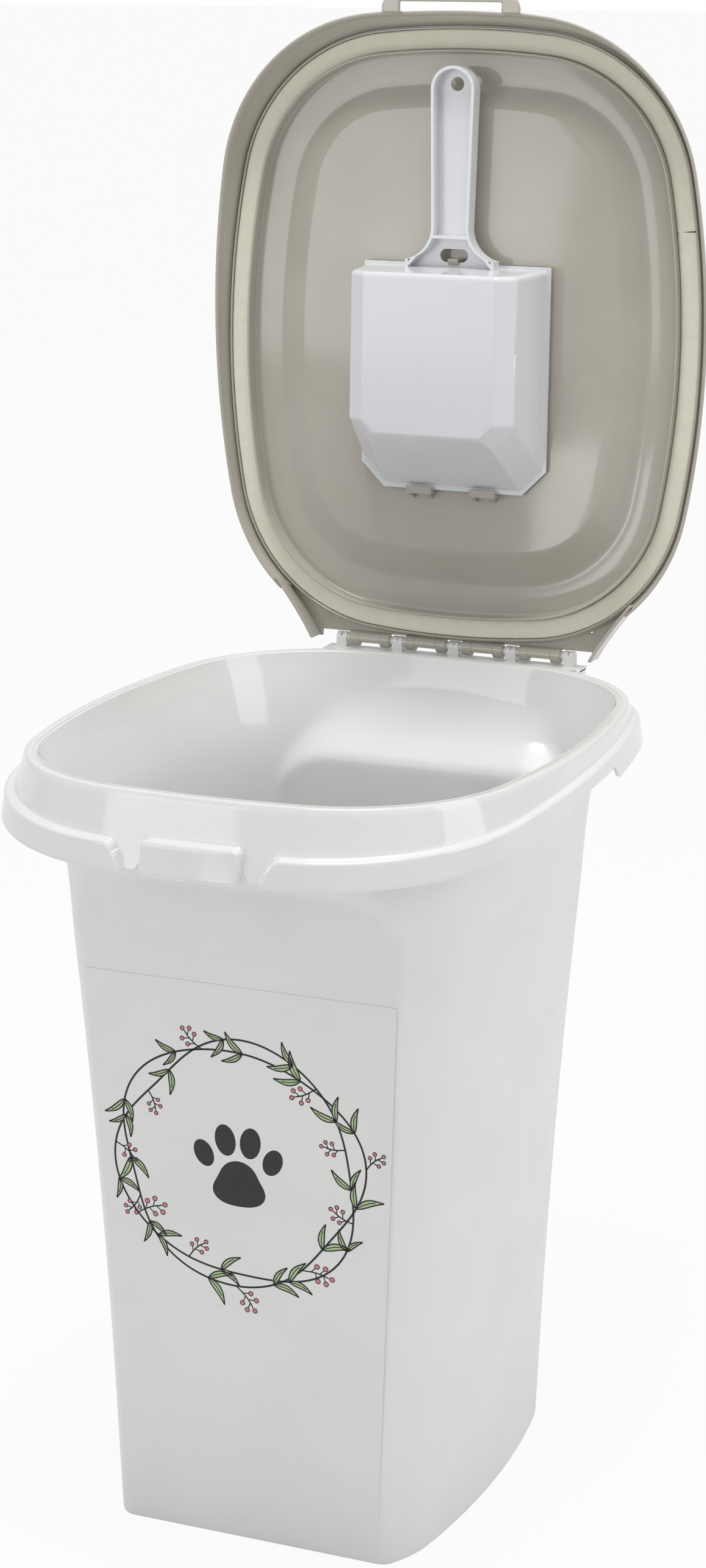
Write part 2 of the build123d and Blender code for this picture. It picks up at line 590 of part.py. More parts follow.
def lid_closed():
    """Lid in its closed place: flange, seal channel, sunk panel, handle, knuckles."""
    foot = RIM_HEIGHT - 3 * CUT_PAST
    shell = lid_envelope(0.0, LID_TOP, foot) - lid_envelope(FLANGE_WALL, LID_UNDER, foot - 1.0)
    shell = shell - below_ledge(-LEDGE_GAP)
    y_far = EAR_Y + CUT_PAST
    shell = shell - block(-EAR_INNER_X, EAR_INNER_X, HINGE_ROOM_Y, y_far, foot, LID_UNDER)
    shell = shell - block(-EAR_INNER_X, EAR_INNER_X, PLATE_Y, y_far, foot, LID_TOP + LID_WALL)
    for side in (-1, 1):
        hole = Cylinder(EAR_NOTCH / 2, 4 * LID_WALL)
        shell = shell - Pos(side * (PLATE_HALF_WIDTH + EAR_NOTCH / 2), PLATE_Y, LID_UNDER) * hole
    outer_wall = SEAL_OUTER - CHANNEL_OUTER_CLEARANCE
    z_outer = LID_UNDER - CHANNEL_OUTER_DEPTH
    channel = ring(outer_wall - CHANNEL_OUTER_WALL, outer_wall, z_outer, LID_UNDER)
    inner_wall = SEAL_OUTER + SEAL_WIDTH + CHANNEL_CLEARANCE
    channel = channel + ring(
        inner_wall, inner_wall + CHANNEL_INNER_WALL, LID_UNDER - CHANNEL_INNER_DEPTH, LID_UNDER
    )
    lid = shell + channel + handle_loop() - handle_slot()
    lid = lid + dish(LID_UNDER, PANEL_UNDER, 0.0)
    lid = lid - dish(LID_TOP, PANEL_UNDER + LID_WALL, -DISH_WALL_SHIFT)
    for x in knuckle_centres():
        lid = lid + knuckle(x)
    return lid


def scoop_holders_closed():
    """Both lower holders, on the flat underside of the lid's sunk panel."""
    return Compound([single(scoop_hook(side * HOOK_X)) for side in (-1, 1)])


def seal_strip_closed():
    """Foam strip in the lid's channel, one length with a butt joint."""
    z0 = RIM_HEIGHT + SEAL_GAP
    strip = ring(SEAL_OUTER, SEAL_OUTER + SEAL_WIDTH, z0, z0 + SEAL_THICKNESS)
    return strip - block(0, 2 * RIM_HALF_WIDTH, SEAL_JOINT_Y - SEAL_JOINT, SEAL_JOINT_Y, z0, LID_TOP)


# ---- scoop, made in its closed place --------------------------------------------
MOUTH_Z = PANEL_UNDER - SCOOP_PANEL_GAP


def bowl_section(depth, half, y0, y1, cut, inset):
    """Six-sided section of the bowl at one depth below its mouth, its front corners cut."""
    x = half - inset
    low = y0 + inset
    high = y1 - inset
    c = cut - inset * CORNER_KEEP
    points = [(-x, low), (x, low), (x, high - c), (x - c, high), (c - x, high), (-x, high - c)]
    return Face(Wire.make_polygon([Vector(px, py, MOUTH_Z - depth) for px, py in points], close=True))


def bowl(inset):
    """Outer form of the bowl, or its hollow when inset by the wall."""
    share = SCOOP_SIDE_DEPTH / SCOOP_DEPTH
    side_y0 = SCOOP_REAR_Y + (SCOOP_BACK_Y0 - SCOOP_REAR_Y) * share
    side_y1 = SCOOP_LIP_Y + (SCOOP_BACK_Y1 - SCOOP_LIP_Y) * share
    mouth = bowl_section(0, SCOOP_MOUTH_HALF, SCOOP_REAR_Y, SCOOP_LIP_Y, SCOOP_CORNER, inset)
    side = bowl_section(SCOOP_SIDE_DEPTH, SCOOP_SIDE_HALF, side_y0, side_y1, SCOOP_CORNER, inset)
    back = bowl_section(
        SCOOP_DEPTH - inset, SCOOP_BACK_HALF, SCOOP_BACK_Y0, SCOOP_BACK_Y1, SCOOP_BACK_CORNER, inset
    )
    form = loft([mouth, side], ruled=True) + loft([side, back], ruled=True)
    kept = form.faces().sort_by(Axis.Z)[-1].edges()
    centres = [e.center() for e in kept]
    edges = [e for e in form.edges() if all((e.center() - c).length > 0.01 for c in centres)]
    return fillet(edges, SCOOP_FILLET - inset)


def grip_plan(z, inset):
    """Handle's plan: round end, near-parallel sides, flared to the bowl."""
    half = GRIP_HALF - inset
    neck = GRIP_NECK_HALF - inset
    end_y = GRIP_END_Y + inset
    wide = GRIP_FLARE_HALF - inset
    top_y = SCOOP_BACK_Y0
    side = [
        Vector(half, end_y + half, z),
        Vector(neck, GRIP_NECK_Y, z),
        Vector(wide, GRIP_FLARE_Y + GRIP_FLARE_LENGTH, z),
        Vector(wide, top_y, z),
    ]
    mirrored = [Vector(-p.X, p.Y, z) for p in side]
    along = (side[1] - side[0]).normalized()
    flare = Edge.make_tangent_arc(side[1], along, side[2])
    flare_left = Edge.make_tangent_arc(mirrored[1], Vector(-along.X, along.Y, 0), mirrored[2])
    edges = [
        Edge.make_line(side[0], side[1]),
        flare,
        Edge.make_line(side[2], side[3]),
        Edge.make_line(side[3], mirrored[3]),
        Edge.make_line(mirrored[3], mirrored[2]),
        flare_left,
        Edge.make_line(mirrored[1], mirrored[0]),
        Edge.make_three_point_arc(mirrored[0], Vector(0, end_y, z), side[0]),
    ]
    return Face(Wire(edges))


def scoop_closed():
    """Scoop stowed under the lid: bowl, lip, channel-shaped handle."""
    outer = bowl(0.0)
    hollow = bowl(SCOOP_WALL)
    floor_z = MOUTH_Z - GRIP_FLOOR_DROP
    wall_z = floor_z - GRIP_WALL_HEIGHT
    lip = bowl_section(0, SCOOP_MOUTH_HALF, SCOOP_REAR_Y, SCOOP_LIP_Y, SCOOP_CORNER, -SCOOP_LIP_OUT)
    lip = extrude(lip, amount=SCOOP_LIP_THICKNESS, dir=(0, 0, -1))
    grip = extrude(grip_plan(wall_z, 0.0), amount=GRIP_WALL_HEIGHT, dir=(0, 0, 1))
    room = extrude(grip_plan(wall_z, GRIP_WALL), amount=GRIP_WALL_HEIGHT - GRIP_WALL, dir=(0, 0, 1))
    rib_rear = GRIP_RIB_Y + GRIP_WALL
    rib = block(-GRIP_FLARE_HALF, GRIP_FLARE_HALF, GRIP_RIB_Y, rib_rear, wall_z, floor_z) & grip
    brace = rib
    rise = SCOOP_REAR_Y - GRIP_RIB_Y
    length = math.hypot(GRIP_FLARE_HALF - SLOT_HALF, rise)
    bar = Pos(0, 0, (floor_z + wall_z) / 2) * Box(2 * length, GRIP_WALL, GRIP_WALL_HEIGHT)
    past_rib = block(-GRIP_FLARE_HALF, GRIP_FLARE_HALF, GRIP_RIB_Y, SCOOP_REAR_Y, wall_z, floor_z)
    for side in (-1, 1):
        angle = math.degrees(math.atan2(rise, side * (GRIP_FLARE_HALF - GRIP_NECK_HALF)))
        x = side * (SLOT_HALF + SLOT_RADIUS + GRIP_WALL)
        placed = Pos(x, GRIP_RIB_Y + SLOT_RADIUS, 0) * Rot(0, 0, angle) * bar
        brace = brace + (placed & grip & past_rib)
    body = grip - room + brace + outer + lip
    mouth = bowl_section(0, SCOOP_MOUTH_HALF, SCOOP_REAR_Y, SCOOP_LIP_Y, SCOOP_CORNER, SCOOP_WALL)
    body = body - hollow - extrude(mouth, amount=SCOOP_PANEL_GAP, dir=(0, 0, 1))
    hole = Pos(0, HANG_HOLE_Y, floor_z) * Cylinder(HANG_HOLE_RADIUS, 4 * GRIP_WALL)
    slot = extrude(SlotOverall(2 * SLOT_HALF, 2 * SLOT_RADIUS), amount=2 * GRIP_WALL, both=True)
    slot = Pos(0, SLOT_Y, floor_z) * slot
    return single(body - hole - slot)


def scoop_catch_closed():
    """Springy tongue on the lid, through the scoop's slot, with a lip toward the bowl."""
    floor_z = MOUTH_Z - GRIP_FLOOR_DROP
    y1 = SLOT_Y + SLOT_RADIUS - HOLD_GAP
    y0 = y1 - LATCH_THICKNESS
    z_lip = floor_z - GRIP_WALL - HOLD_GAP
    points = [
        (y0, PANEL_UNDER),
        (y0, z_lip - LATCH_LIP),
        (y1 - LATCH_THICKNESS / 2, z_lip - LATCH_LIP),
        (y1 + LATCH_LIP, z_lip - LATCH_LIP / 3),
        (y1 + LATCH_LIP, z_lip),
        (y1, z_lip),
        (y1, PANEL_UNDER),
    ]
    return prism_x(points, LATCH_HALF)


def front_label():
    """Printed film on the front panel."""
    def at(x, z):
        return Vector(x, -(PANEL_FOOT_Y + PANEL_SLOPE * z), z)

    corners = [
        at(-FILM_FOOT_HALF, FILM_FOOT), at(FILM_FOOT_HALF, FILM_FOOT),
        at(FILM_TOP_HALF, FILM_TOP), at(-FILM_TOP_HALF, FILM_TOP),
    ]
    face = Face(Wire.make_polygon(corners, close=True))
    return extrude(face, amount=FILM_THICKNESS, dir=(0, -1, PANEL_SLOPE))


def opened(shape):
    """Swing a piece of the lid's group from closed to the open stop."""
    axis = Axis((0, HINGE_Y, HINGE_Z), (1, 0, 0))
    return shape.rotate(axis, -OPEN_ANGLE)


def main():
    """Write one STEP file for each piece, the lid open."""
    os.makedirs(PARTS, exist_ok=True)
    pieces = {
        "bin_body": tub(),
        "front_label": front_label(),
        "lid": opened(lid_closed()),
        "seal_strip": opened(seal_strip_closed()),
        "scoop_catch": opened(scoop_catch_closed()),
        "scoop_holders": opened(scoop_holders_closed()),
        "scoop": opened(scoop_closed()),
    }
    for name, shape in pieces.items():
        export_step(shape, f"{PARTS}/{name}.step")


if __name__ == "__main__":
    main()
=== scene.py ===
"""Pet food bin: a white moulded tub with an overhanging rim, a hinged warm grey lid with a
foam seal, and a glossy white scoop clipped under the lid.

Classes hold their sizes in millimetres; meshes are in metres. X runs across the front,
Y towards the hinge and Z up. The lid is worked out closed and then turned to its stop.
"""

import logging
import math
from dataclasses import dataclass, field
from enum import Enum

import bpy
import numpy as np
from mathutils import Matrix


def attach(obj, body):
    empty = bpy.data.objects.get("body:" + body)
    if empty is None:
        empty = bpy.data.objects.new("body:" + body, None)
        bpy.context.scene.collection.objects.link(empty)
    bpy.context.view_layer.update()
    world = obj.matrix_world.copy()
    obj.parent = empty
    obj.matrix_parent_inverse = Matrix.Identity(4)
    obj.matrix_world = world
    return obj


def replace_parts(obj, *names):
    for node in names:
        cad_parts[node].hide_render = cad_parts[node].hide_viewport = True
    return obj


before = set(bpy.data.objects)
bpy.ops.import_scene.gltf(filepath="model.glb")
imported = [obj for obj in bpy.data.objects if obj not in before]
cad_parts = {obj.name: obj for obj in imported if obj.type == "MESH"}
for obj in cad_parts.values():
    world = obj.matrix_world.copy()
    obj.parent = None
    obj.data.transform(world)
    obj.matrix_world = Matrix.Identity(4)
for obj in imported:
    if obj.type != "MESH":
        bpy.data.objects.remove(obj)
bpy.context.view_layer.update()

LOG = logging.getLogger("pet_food_bin")
MM = 0.001
SMOOTH_ANGLE = 38.0


class Body(Enum):
    """Moving groups of the bin."""

    TUB = "tub"
    LID = "lid"


class Along(Enum):
    """Axis that a prism is carried along."""

    X = 0
    Z = 2


# ---- colour and node helpers -------------------------------------------------
def linear(code: str) -> tuple[float, float, float, float]:
    """Turn an sRGB hex colour to linear.

    Args:
        code: six hex digits with a leading hash.

    Returns:
        Linear red, green, blue and a full alpha.
    """
    parts = [int(code[i : i + 2], 16) / 255 for i in (1, 3, 5)]
    low = [p / 12.92 if p <= 0.04045 else ((p + 0.055) / 1.055) ** 2.4 for p in parts]
    return (*low, 1.0)


def add_node(
    tree: bpy.types.NodeTree, kind: str, inputs: dict | None = None, **fields: object
) -> bpy.types.Node:
    """Add one node, set its fields and fill its sockets.

    Args:
        tree: node tree that gets the node.
        kind: node type, such as ShaderNodeTexNoise.
        inputs: socket name or index to a value, or to an output socket to link.
        fields: node properties by name.

    Returns:
        The new node.
    """
    node = tree.nodes.new(kind)
    for key, value in fields.items():
        setattr(node, key, value)
    for key, value in (inputs or {}).items():
        if isinstance(value, bpy.types.NodeSocket):
            tree.links.new(value, node.inputs[key])
        else:
            node.inputs[key].default_value = value
    return node


def new_material(name: str) -> tuple[bpy.types.Material, bpy.types.NodeTree, bpy.types.Node]:
    """Start a material with an empty tree and its output.

    Args:
        name: common name of the material.

    Returns:
        The material, its tree and its output node.
    """
    material = bpy.data.materials.new(name)
    material.use_nodes = True
    tree = material.node_tree
    tree.nodes.clear()
    return material, tree, add_node(tree, "ShaderNodeOutputMaterial")


def noise(
    tree: bpy.types.NodeTree, place: bpy.types.NodeSocket, size_mm: float, **sockets: float
) -> bpy.types.NodeSocket:
    """Add soft noise.

    Args:
        tree: node tree.
        place: where the noise is read.
        size_mm: size of its patches.
        sockets: the node's other values, such as Detail.

    Returns:
        Its level, from about 0 to 1.
    """
    inputs = {"Vector": place, "Scale": 1 / (size_mm * MM), **sockets}
    return add_node(tree, "ShaderNodeTexNoise", inputs).outputs["Fac"]


def two_tints(
    tree: bpy.types.NodeTree, share: bpy.types.NodeSocket, colour: str, shade: str
) -> bpy.types.NodeSocket:
    """Add a mix of two tints.

    Args:
        tree: node tree.
        share: 0 for the first tint to 1 for the second.
        colour: first tint, in hex.
        shade: second tint, in hex.

    Returns:
        The mixed colour.
    """
    inputs = {"Factor": share, 6: linear(colour), 7: linear(shade)}
    return add_node(tree, "ShaderNodeMix", inputs, data_type="RGBA").outputs[2]


def relief(
    tree: bpy.types.NodeTree,
    level: bpy.types.NodeSocket,
    height_mm: float,
    strength: float = 1.0,
    under: bpy.types.NodeSocket | None = None,
) -> bpy.types.NodeSocket:
    """Add fine relief, on top of another where there is one.

    Args:
        tree: node tree.
        level: its level, 0 to 1.
        height_mm: its height at level 1.
        strength: how much of it shows, 0 to 1.
        under: the relief that it lies on.

    Returns:
        The normal.
    """
    inputs = {"Strength": strength, "Distance": height_mm * MM, "Height": level}
    if under is not None:
        inputs["Normal"] = under
    return add_node(tree, "ShaderNodeBump", inputs).outputs["Normal"]


def add_skin(tree: bpy.types.NodeTree, out: bpy.types.Node, inputs: dict) -> None:
    """Add the surface shader and join it to the output.

    Args:
        tree: node tree.
        out: the material's output.
        inputs: the shader's sockets by name.
    """
    shader = add_node(tree, "ShaderNodeBsdfPrincipled", inputs)
    tree.links.new(shader.outputs[0], out.inputs["Surface"])


# ---- finishes -----------------------------------------------------------------
@dataclass(frozen=True)
class MouldedPlastic:
    """Injection-moulded polypropylene: a satin or gloss skin with faint flow mottling.

    Pigmented polypropylene lets a little light into its skin, so its colour drifts
    slightly over hands' breadths, and tool polish leaves a fine, uneven gloss.
    """

    name: str
    colour: str
    shade: str
    roughness: float
    gloss_roughness: float = 0.0
    gloss_from: float = 0.0
    gloss_to: float = 0.0
    mottle_mm: float = 55.0
    wear: float = 0.025
    grain_mm: float = 1.4
    grain_height_mm: float = 0.010
    ripple_mm: float = 38.0
    ripple_height_mm: float = 0.05
    ior: float = 1.49

    def build(self) -> bpy.types.Material:
        """Make the material: two tints in soft clouds, uneven gloss, ripples and fine grain.

        Returns:
            The finished material.
        """
        material, tree, out = new_material(self.name)
        place = add_node(tree, "ShaderNodeTexCoord").outputs["Object"]
        mottle = noise(tree, place, self.mottle_mm, Detail=3.0, Roughness=0.5)
        spread = add_node(
            tree, "ShaderNodeMapRange", {"Value": mottle, "From Min": 0.3, "From Max": 0.7}
        )
        base = self.roughness
        if self.gloss_to > self.gloss_from:
            height = add_node(tree, "ShaderNodeSeparateXYZ", {"Vector": place}).outputs["Z"]
            heights = {"From Min": self.gloss_from * MM, "From Max": self.gloss_to * MM}
            levels = {"To Min": self.roughness, "To Max": self.gloss_roughness}
            base = add_node(
                tree,
                "ShaderNodeMapRange",
                {"Value": height, **heights, **levels},
                interpolation_type="SMOOTHSTEP",
            ).outputs[0]
        wear = add_node(
            tree, "ShaderNodeMapRange", {"Value": mottle, "To Min": -self.wear, "To Max": self.wear}
        )
        rough = add_node(tree, "ShaderNodeMath", {0: base, 1: wear.outputs[0]}, operation="ADD")
        ripple = noise(tree, place, self.ripple_mm, Detail=1.0)
        grain = noise(tree, place, self.grain_mm, Detail=2.0)
        normal = relief(tree, ripple, self.ripple_height_mm)
        inputs = {
            "Base Color": two_tints(tree, spread.outputs[0], self.colour, self.shade),
            "Roughness": rough.outputs[0],
            "IOR": self.ior,
            "Normal": relief(tree, grain, self.grain_height_mm, under=normal),
        }
        add_skin(tree, out, inputs)
        return material


@dataclass(frozen=True)
class ClosedCellFoam:
    """Polyethylene foam strip: matt, with fine cells and the creases of a bent strip.

    Real cells are about 0.4 mm across; they are drawn coarser so that they show.
    """

    name: str = "closed_cell_polyethylene_foam"
    colour: str = "#F0EEDF"
    shade: str = "#E6E4D1"
    cell_mm: float = 1.3
    cell_height_mm: float = 0.15
    crease_mm: float = 9.0
    crease_height_mm: float = 0.5
    roughness: float = 0.85
    ior: float = 1.45

    def build(self) -> bpy.types.Material:
        """Make the foam: soft creases over a bed of cells.

        Returns:
            The finished material.
        """
        material, tree, out = new_material(self.name)
        place = add_node(tree, "ShaderNodeTexCoord").outputs["Object"]
        cells = add_node(
            tree, "ShaderNodeTexVoronoi", {"Vector": place, "Scale": 1 / (self.cell_mm * MM)}
        )
        creases = noise(tree, place, self.crease_mm, Detail=4.0, Distortion=0.6)
        low = relief(tree, creases, self.crease_height_mm, 0.8)
        inputs = {
            "Base Color": two_tints(tree, creases, self.colour, self.shade),
            "Roughness": self.roughness,
            "IOR": self.ior,
            "Normal": relief(tree, cells.outputs["Distance"], self.cell_height_mm, 0.6, low),
        }
        add_skin(tree, out, inputs)
        return material


@dataclass(frozen=True)
class PrintingInk:
    """Ink of the label's print: an even satin layer with the slight patchiness of a pad print."""

    name: str
    colour: str
    shade: str
    patch_mm: float = 6.0
    roughness: float = 0.5
    ior: float = 1.5

    def build(self) -> bpy.types.Material:
        """Make the ink: two tints in small patches.

        Returns:
            The finished material.
        """
        material, tree, out = new_material(self.name)
        place = add_node(tree, "ShaderNodeTexCoord").outputs["Object"]
        patch = noise(tree, place, self.patch_mm, Detail=3.0)
        colour = two_tints(tree, patch, self.colour, self.shade)
        inputs = {"Base Color": colour, "Roughness": self.roughness, "IOR": self.ior}
        add_skin(tree, out, inputs)
        return material


# Satin below and polished above: the rim's tool face is mirror smooth, so the band shows
# crisp reflections, while the walls only glow.
TUB_PLASTIC = MouldedPlastic(
    name="white_polypropylene",
    colour="#E8E8E7",
    shade="#E4E4E3",
    roughness=0.36,
    gloss_roughness=0.08,
    gloss_from=428.0,
    gloss_to=440.0,
)
# A film moulded into the wall is as white as the wall, and a touch smoother.
LABEL_FILM = MouldedPlastic(
    name="white_in_mould_label_film",
    colour="#E8E8E7",
    shade="#E4E4E3",
    roughness=0.33,
    ripple_height_mm=0.03,
)
# A polished tool gives the lid its clear, slightly wavy reflections.
LID_PLASTIC = MouldedPlastic(
    name="warm_grey_polypropylene",
    colour="#B8B3A8",
    shade="#B2ADA1",
    roughness=0.06,
)
# Thin, hard and glossy, with a cool tint beside the tub's white.
SCOOP_PLASTIC = MouldedPlastic(
    name="glossy_white_polypropylene",
    colour="#DEDFE2",
    shade="#DDDEE2",
    roughness=0.12,
    ripple_mm=24.0,
    grain_height_mm=0.004,
)
# Cream and quite matt, so that it stands off from the glossy lid.
FOAM = ClosedCellFoam()
# Thin satin inks: nearly black outlines, pale leaves and dusty berries.
INK_DARK = PrintingInk("black_ink", "#1E1B1D", "#2A2729")
INK_LEAF = PrintingInk("leaf_green_ink", "#B9CFA0", "#A9C48E")
INK_BERRY = PrintingInk("berry_pink_ink", "#D98A94", "#CC7480")


# ---- surface helpers ------------------------------------------------------------
def smooth_step(x: np.ndarray) -> np.ndarray:
    """Rise from 0 to 1 as x goes from 0 to 1: three squares less two cubes."""
    t = np.clip(x, 0.0, 1.0)
    return t * t * (3 - 2 * t)


def smooth_through(x: np.ndarray, knots: np.ndarray, values: np.ndarray) -> np.ndarray:
    """Cubic through given values, its slope at a knot the mean of the chords beside it.

    Args:
        x: places to work it out at.
        knots: rising places of the values.
        values: one value for each knot.

    Returns:
        The curve's value at each x.
    """
    chords = np.diff(values) / np.diff(knots)
    slopes = np.concatenate([chords[:1], (chords[1:] + chords[:-1]) / 2, chords[-1:]])
    i = np.clip(np.searchsorted(knots, x, side="right") - 1, 0, len(knots) - 2)
    span = knots[i + 1] - knots[i]
    t = (x - knots[i]) / span
    start = (1 + 2 * t) * (1 - t) ** 2 * values[i] + t * (1 - t) ** 2 * span * slopes[i]
    end = t * t * (3 - 2 * t) * values[i + 1] + t * t * (t - 1) * span * slopes[i + 1]
    return start + end


def smooth_least(a: np.ndarray, b: np.ndarray, width: float) -> np.ndarray:
    """Smaller of two surfaces, their crease rounded over a width by a parabola."""
    h = np.clip(0.5 + 0.5 * (b - a) / width, 0.0, 1.0)
    return b * (1 - h) + a * h - width * h * (1 - h)


def grid_faces(rows: int, cols: int, wrap: bool = True) -> np.ndarray:
    """Quads of a grid of points, row after row.

    Args:
        rows: rows of points.
        cols: points in a row.
        wrap: True when each row closes on itself.

    Returns:
        An array of four point numbers a quad.
    """
    i = np.arange(rows - 1)[:, None]
    j = np.arange(cols if wrap else cols - 1)[None, :]
    k = (j + 1) % cols
    quads = np.stack([i * cols + j, i * cols + k, (i + 1) * cols + k, (i + 1) * cols + j], -1)
    return quads.reshape(-1, 4)


@dataclass
class MeshParts:
    """Points and faces gathered from several surfaces, in millimetres."""

    points: list[np.ndarray] = field(default_factory=list)
    faces: list[list[int]] = field(default_factory=list)
    count: int = 0

    def add(self, points: np.ndarray, faces: list) -> None:
        """Add a surface.

        Args:
            points: its points, in any grid, with x, y and z last.
            faces: its faces, numbered from its own first point.
        """
        first = self.count
        self.points.append(points.reshape(-1, 3))
        self.count += len(self.points[-1])
        self.faces.extend([[first + int(v) for v in face] for face in faces])

    def add_shell(self, rows: np.ndarray) -> None:
        """Add a grid of closed rows, its first and last row each drawn to a pole.

        Args:
            rows: points by row, column and axis; the surface faces out when the columns
                run anticlockwise and the rows go from the inside floor over the top.
        """
        n_rows, n_cols, _ = rows.shape
        poles = np.stack([rows[0].mean(0), rows[-1].mean(0)])
        quads = grid_faces(n_rows, n_cols).tolist()
        first = n_rows * n_cols
        j = np.arange(n_cols)
        k = (j + 1) % n_cols
        top = np.stack([np.full(n_cols, first), k, j], -1).tolist()
        base = (n_rows - 1) * n_cols
        foot = np.stack([np.full(n_cols, first + 1), base + j, base + k], -1).tolist()
        self.add(np.concatenate([rows.reshape(-1, 3), poles]), quads + top + foot)

    def add_prism(self, profile: np.ndarray, along: Along, low: float, high: float) -> None:
        """Add a solid: a closed flat outline carried straight along one axis.

        Args:
            profile: outline points in the two other axes, in their order, anticlockwise.
            along: axis that it is carried along.
            low: where it starts.
            high: where it ends.
        """
        n = len(profile)
        ends = [np.insert(profile, along.value, at, axis=1) for at in (low, high)]
        j = np.arange(n)
        k = (j + 1) % n
        sides = np.stack([j, k, n + k, n + j], -1).tolist()
        caps = [list(range(n))[::-1], list(range(n, 2 * n))]
        self.add(np.concatenate(ends), sides + caps)

    def piece(
        self, name: str, body: Body, slot: str, material: bpy.types.Material
    ) -> bpy.types.Object:
        """Make the object, ride it on its body and shade it smooth but for its hard edges.

        Args:
            name: piece name.
            body: moving group that it rides on.
            slot: not used.
            material: its finish.

        Returns:
            The object, at the origin, with its place in its mesh.
        """
        mesh = bpy.data.meshes.new(name)
        mesh.from_pydata((np.concatenate(self.points) * MM).tolist(), [], self.faces)
        mesh.polygons.foreach_set("use_smooth", np.ones(len(mesh.polygons), bool))
        mesh.set_sharp_from_angle(angle=math.radians(SMOOTH_ANGLE))
        mesh.materials.append(material)
        mesh.update()
        obj = bpy.data.objects.new(name, mesh)
        bpy.context.scene.collection.objects.link(obj)
        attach(obj, body.value)
        LOG.info("%s: %d faces", name, len(mesh.polygons))
        return obj


def arc_points(
    centre: tuple[float, float], radius: float, start: float, end: float, n: int
) -> np.ndarray:
    """Points along a circle's arc, from a start to an end angle in degrees."""
    t = np.radians(np.linspace(start, end, n))
    return np.stack([centre[0] + radius * np.cos(t), centre[1] + radius * np.sin(t)], -1)


def bend_steps(start: float, stop: float, n: int) -> list[tuple[float, float]]:
    """Shares of a radius by which the rows of a rounded edge lie off its two faces.

    They are one less the sine and one less the cosine of an angle.

    Args:
        start: first angle in degrees.
        stop: last angle in degrees.
        n: how many rows.

    Returns:
        The two shares for each row.
    """
    angles = [math.radians(t) for t in np.linspace(start, stop, n)]
    return [(1 - math.sin(a), 1 - math.cos(a)) for a in angles]


def round_edges(
    piece: bpy.types.Object, width: float, segments: int = 3, angle: float = 40.0
) -> None:
    """Round a piece's sharp edges.

    Args:
        piece: the object.
        width: size of the rounding.
        segments: faces across it.
        angle: least angle of an edge that is rounded, in degrees.
    """
    edge = piece.modifiers.new("edges", "BEVEL")
    edge.width, edge.segments = width * MM, segments
    edge.limit_method, edge.angle_limit = "ANGLE", math.radians(angle)


# ---- rounded outline shared by tub and lid ----------------------------------------
@dataclass(frozen=True)
class Columns:
    """Share of columns in each stretch of a quarter outline: side, corner and end."""

    side: int = 30
    corner: int = 42
    end: int = 58
    dense_at: tuple[float, float] = (29.0, 45.5)
    dense_width: tuple[float, float] = (2.2, 5.0)
    dense_gain: tuple[float, float] = (2.5, 1.5)
    end_length: float = 57.5

    def shares(self) -> tuple[np.ndarray, np.ndarray]:
        """Give each column of a quarter its stretch and its share along it.

        The end's columns bunch where the catch block's and the notches' edges fall.

        Returns:
            Stretch numbers, and shares from 0 to 1.
        """
        x = np.linspace(0.0, self.end_length, 400)
        bunch = np.ones_like(x)
        for at, width, gain in zip(self.dense_at, self.dense_width, self.dense_gain):
            bunch = bunch + gain * np.exp(-(((x - at) / width) ** 2))
        gathered = np.concatenate([[0.0], np.cumsum((bunch[1:] + bunch[:-1]) / 2)])
        at = np.interp(np.linspace(0, gathered[-1], self.end + 1), gathered, x)
        end = 1 - at[::-1] / self.end_length
        kind = np.repeat([0, 1, 2], [self.side, self.corner, self.end + 1])
        share = np.concatenate(
            [
                np.linspace(0, 1, self.side, endpoint=False),
                np.linspace(0, 1, self.corner, endpoint=False),
                end,
            ]
        )
        return kind, share


def arc_loop(sizes: np.ndarray, columns: Columns) -> tuple[np.ndarray, np.ndarray]:
    """Outline of eight tangent arcs: bowed ends and sides with round corners.

    A side arc's radius is that of the circle through the side's middle that touches the
    corner arc from inside, and the end arc's is found the same way. A point is its arc's
    centre plus the radius along the direction (cos p, sin p), which is also its normal.

    Args:
        sizes: half width, half depth, corner radius, corner centre x and y in the last
            axis, for any number of levels.
        columns: how the points are shared out.

    Returns:
        Points and outward normals, each level's columns anticlockwise from +X.
    """
    a, b, r, cx, cy = (sizes[..., i : i + 1] for i in range(5))
    kind, share = columns.shares()
    side_r = (cy**2 + (a - cx) ** 2 - r**2) / (2 * (a - cx - r))
    end_r = (cx**2 + (b - cy) ** 2 - r**2) / (2 * (b - cy - r))
    side_angle = np.arctan2(cy, cx - (a - side_r))
    end_angle = np.arctan2(cy - (b - end_r), cx)
    start = np.choose(kind, [0 * side_angle, side_angle, end_angle])
    stop = np.choose(kind, [side_angle, end_angle, 0 * end_angle + math.pi / 2])
    angle = start + share * (stop - start)
    radius = np.choose(kind, [side_r, r + 0 * side_r, end_r])
    x0 = np.choose(kind, [a - side_r, cx, 0 * cx])
    y0 = np.choose(kind, [0 * cy, cy, b - end_r])
    nx, ny = np.cos(angle), np.sin(angle)
    quarter = np.stack([x0 + radius * nx, y0 + radius * ny, nx, ny], -1)
    forward, backward = quarter[..., :-1, :], quarter[..., :0:-1, :]
    turns = [
        forward,
        backward * [-1, 1, -1, 1],
        forward * -1.0,
        backward * [1, -1, 1, -1],
    ]
    loop = np.concatenate(turns, axis=-2)
    return loop[..., :2], loop[..., 2:]


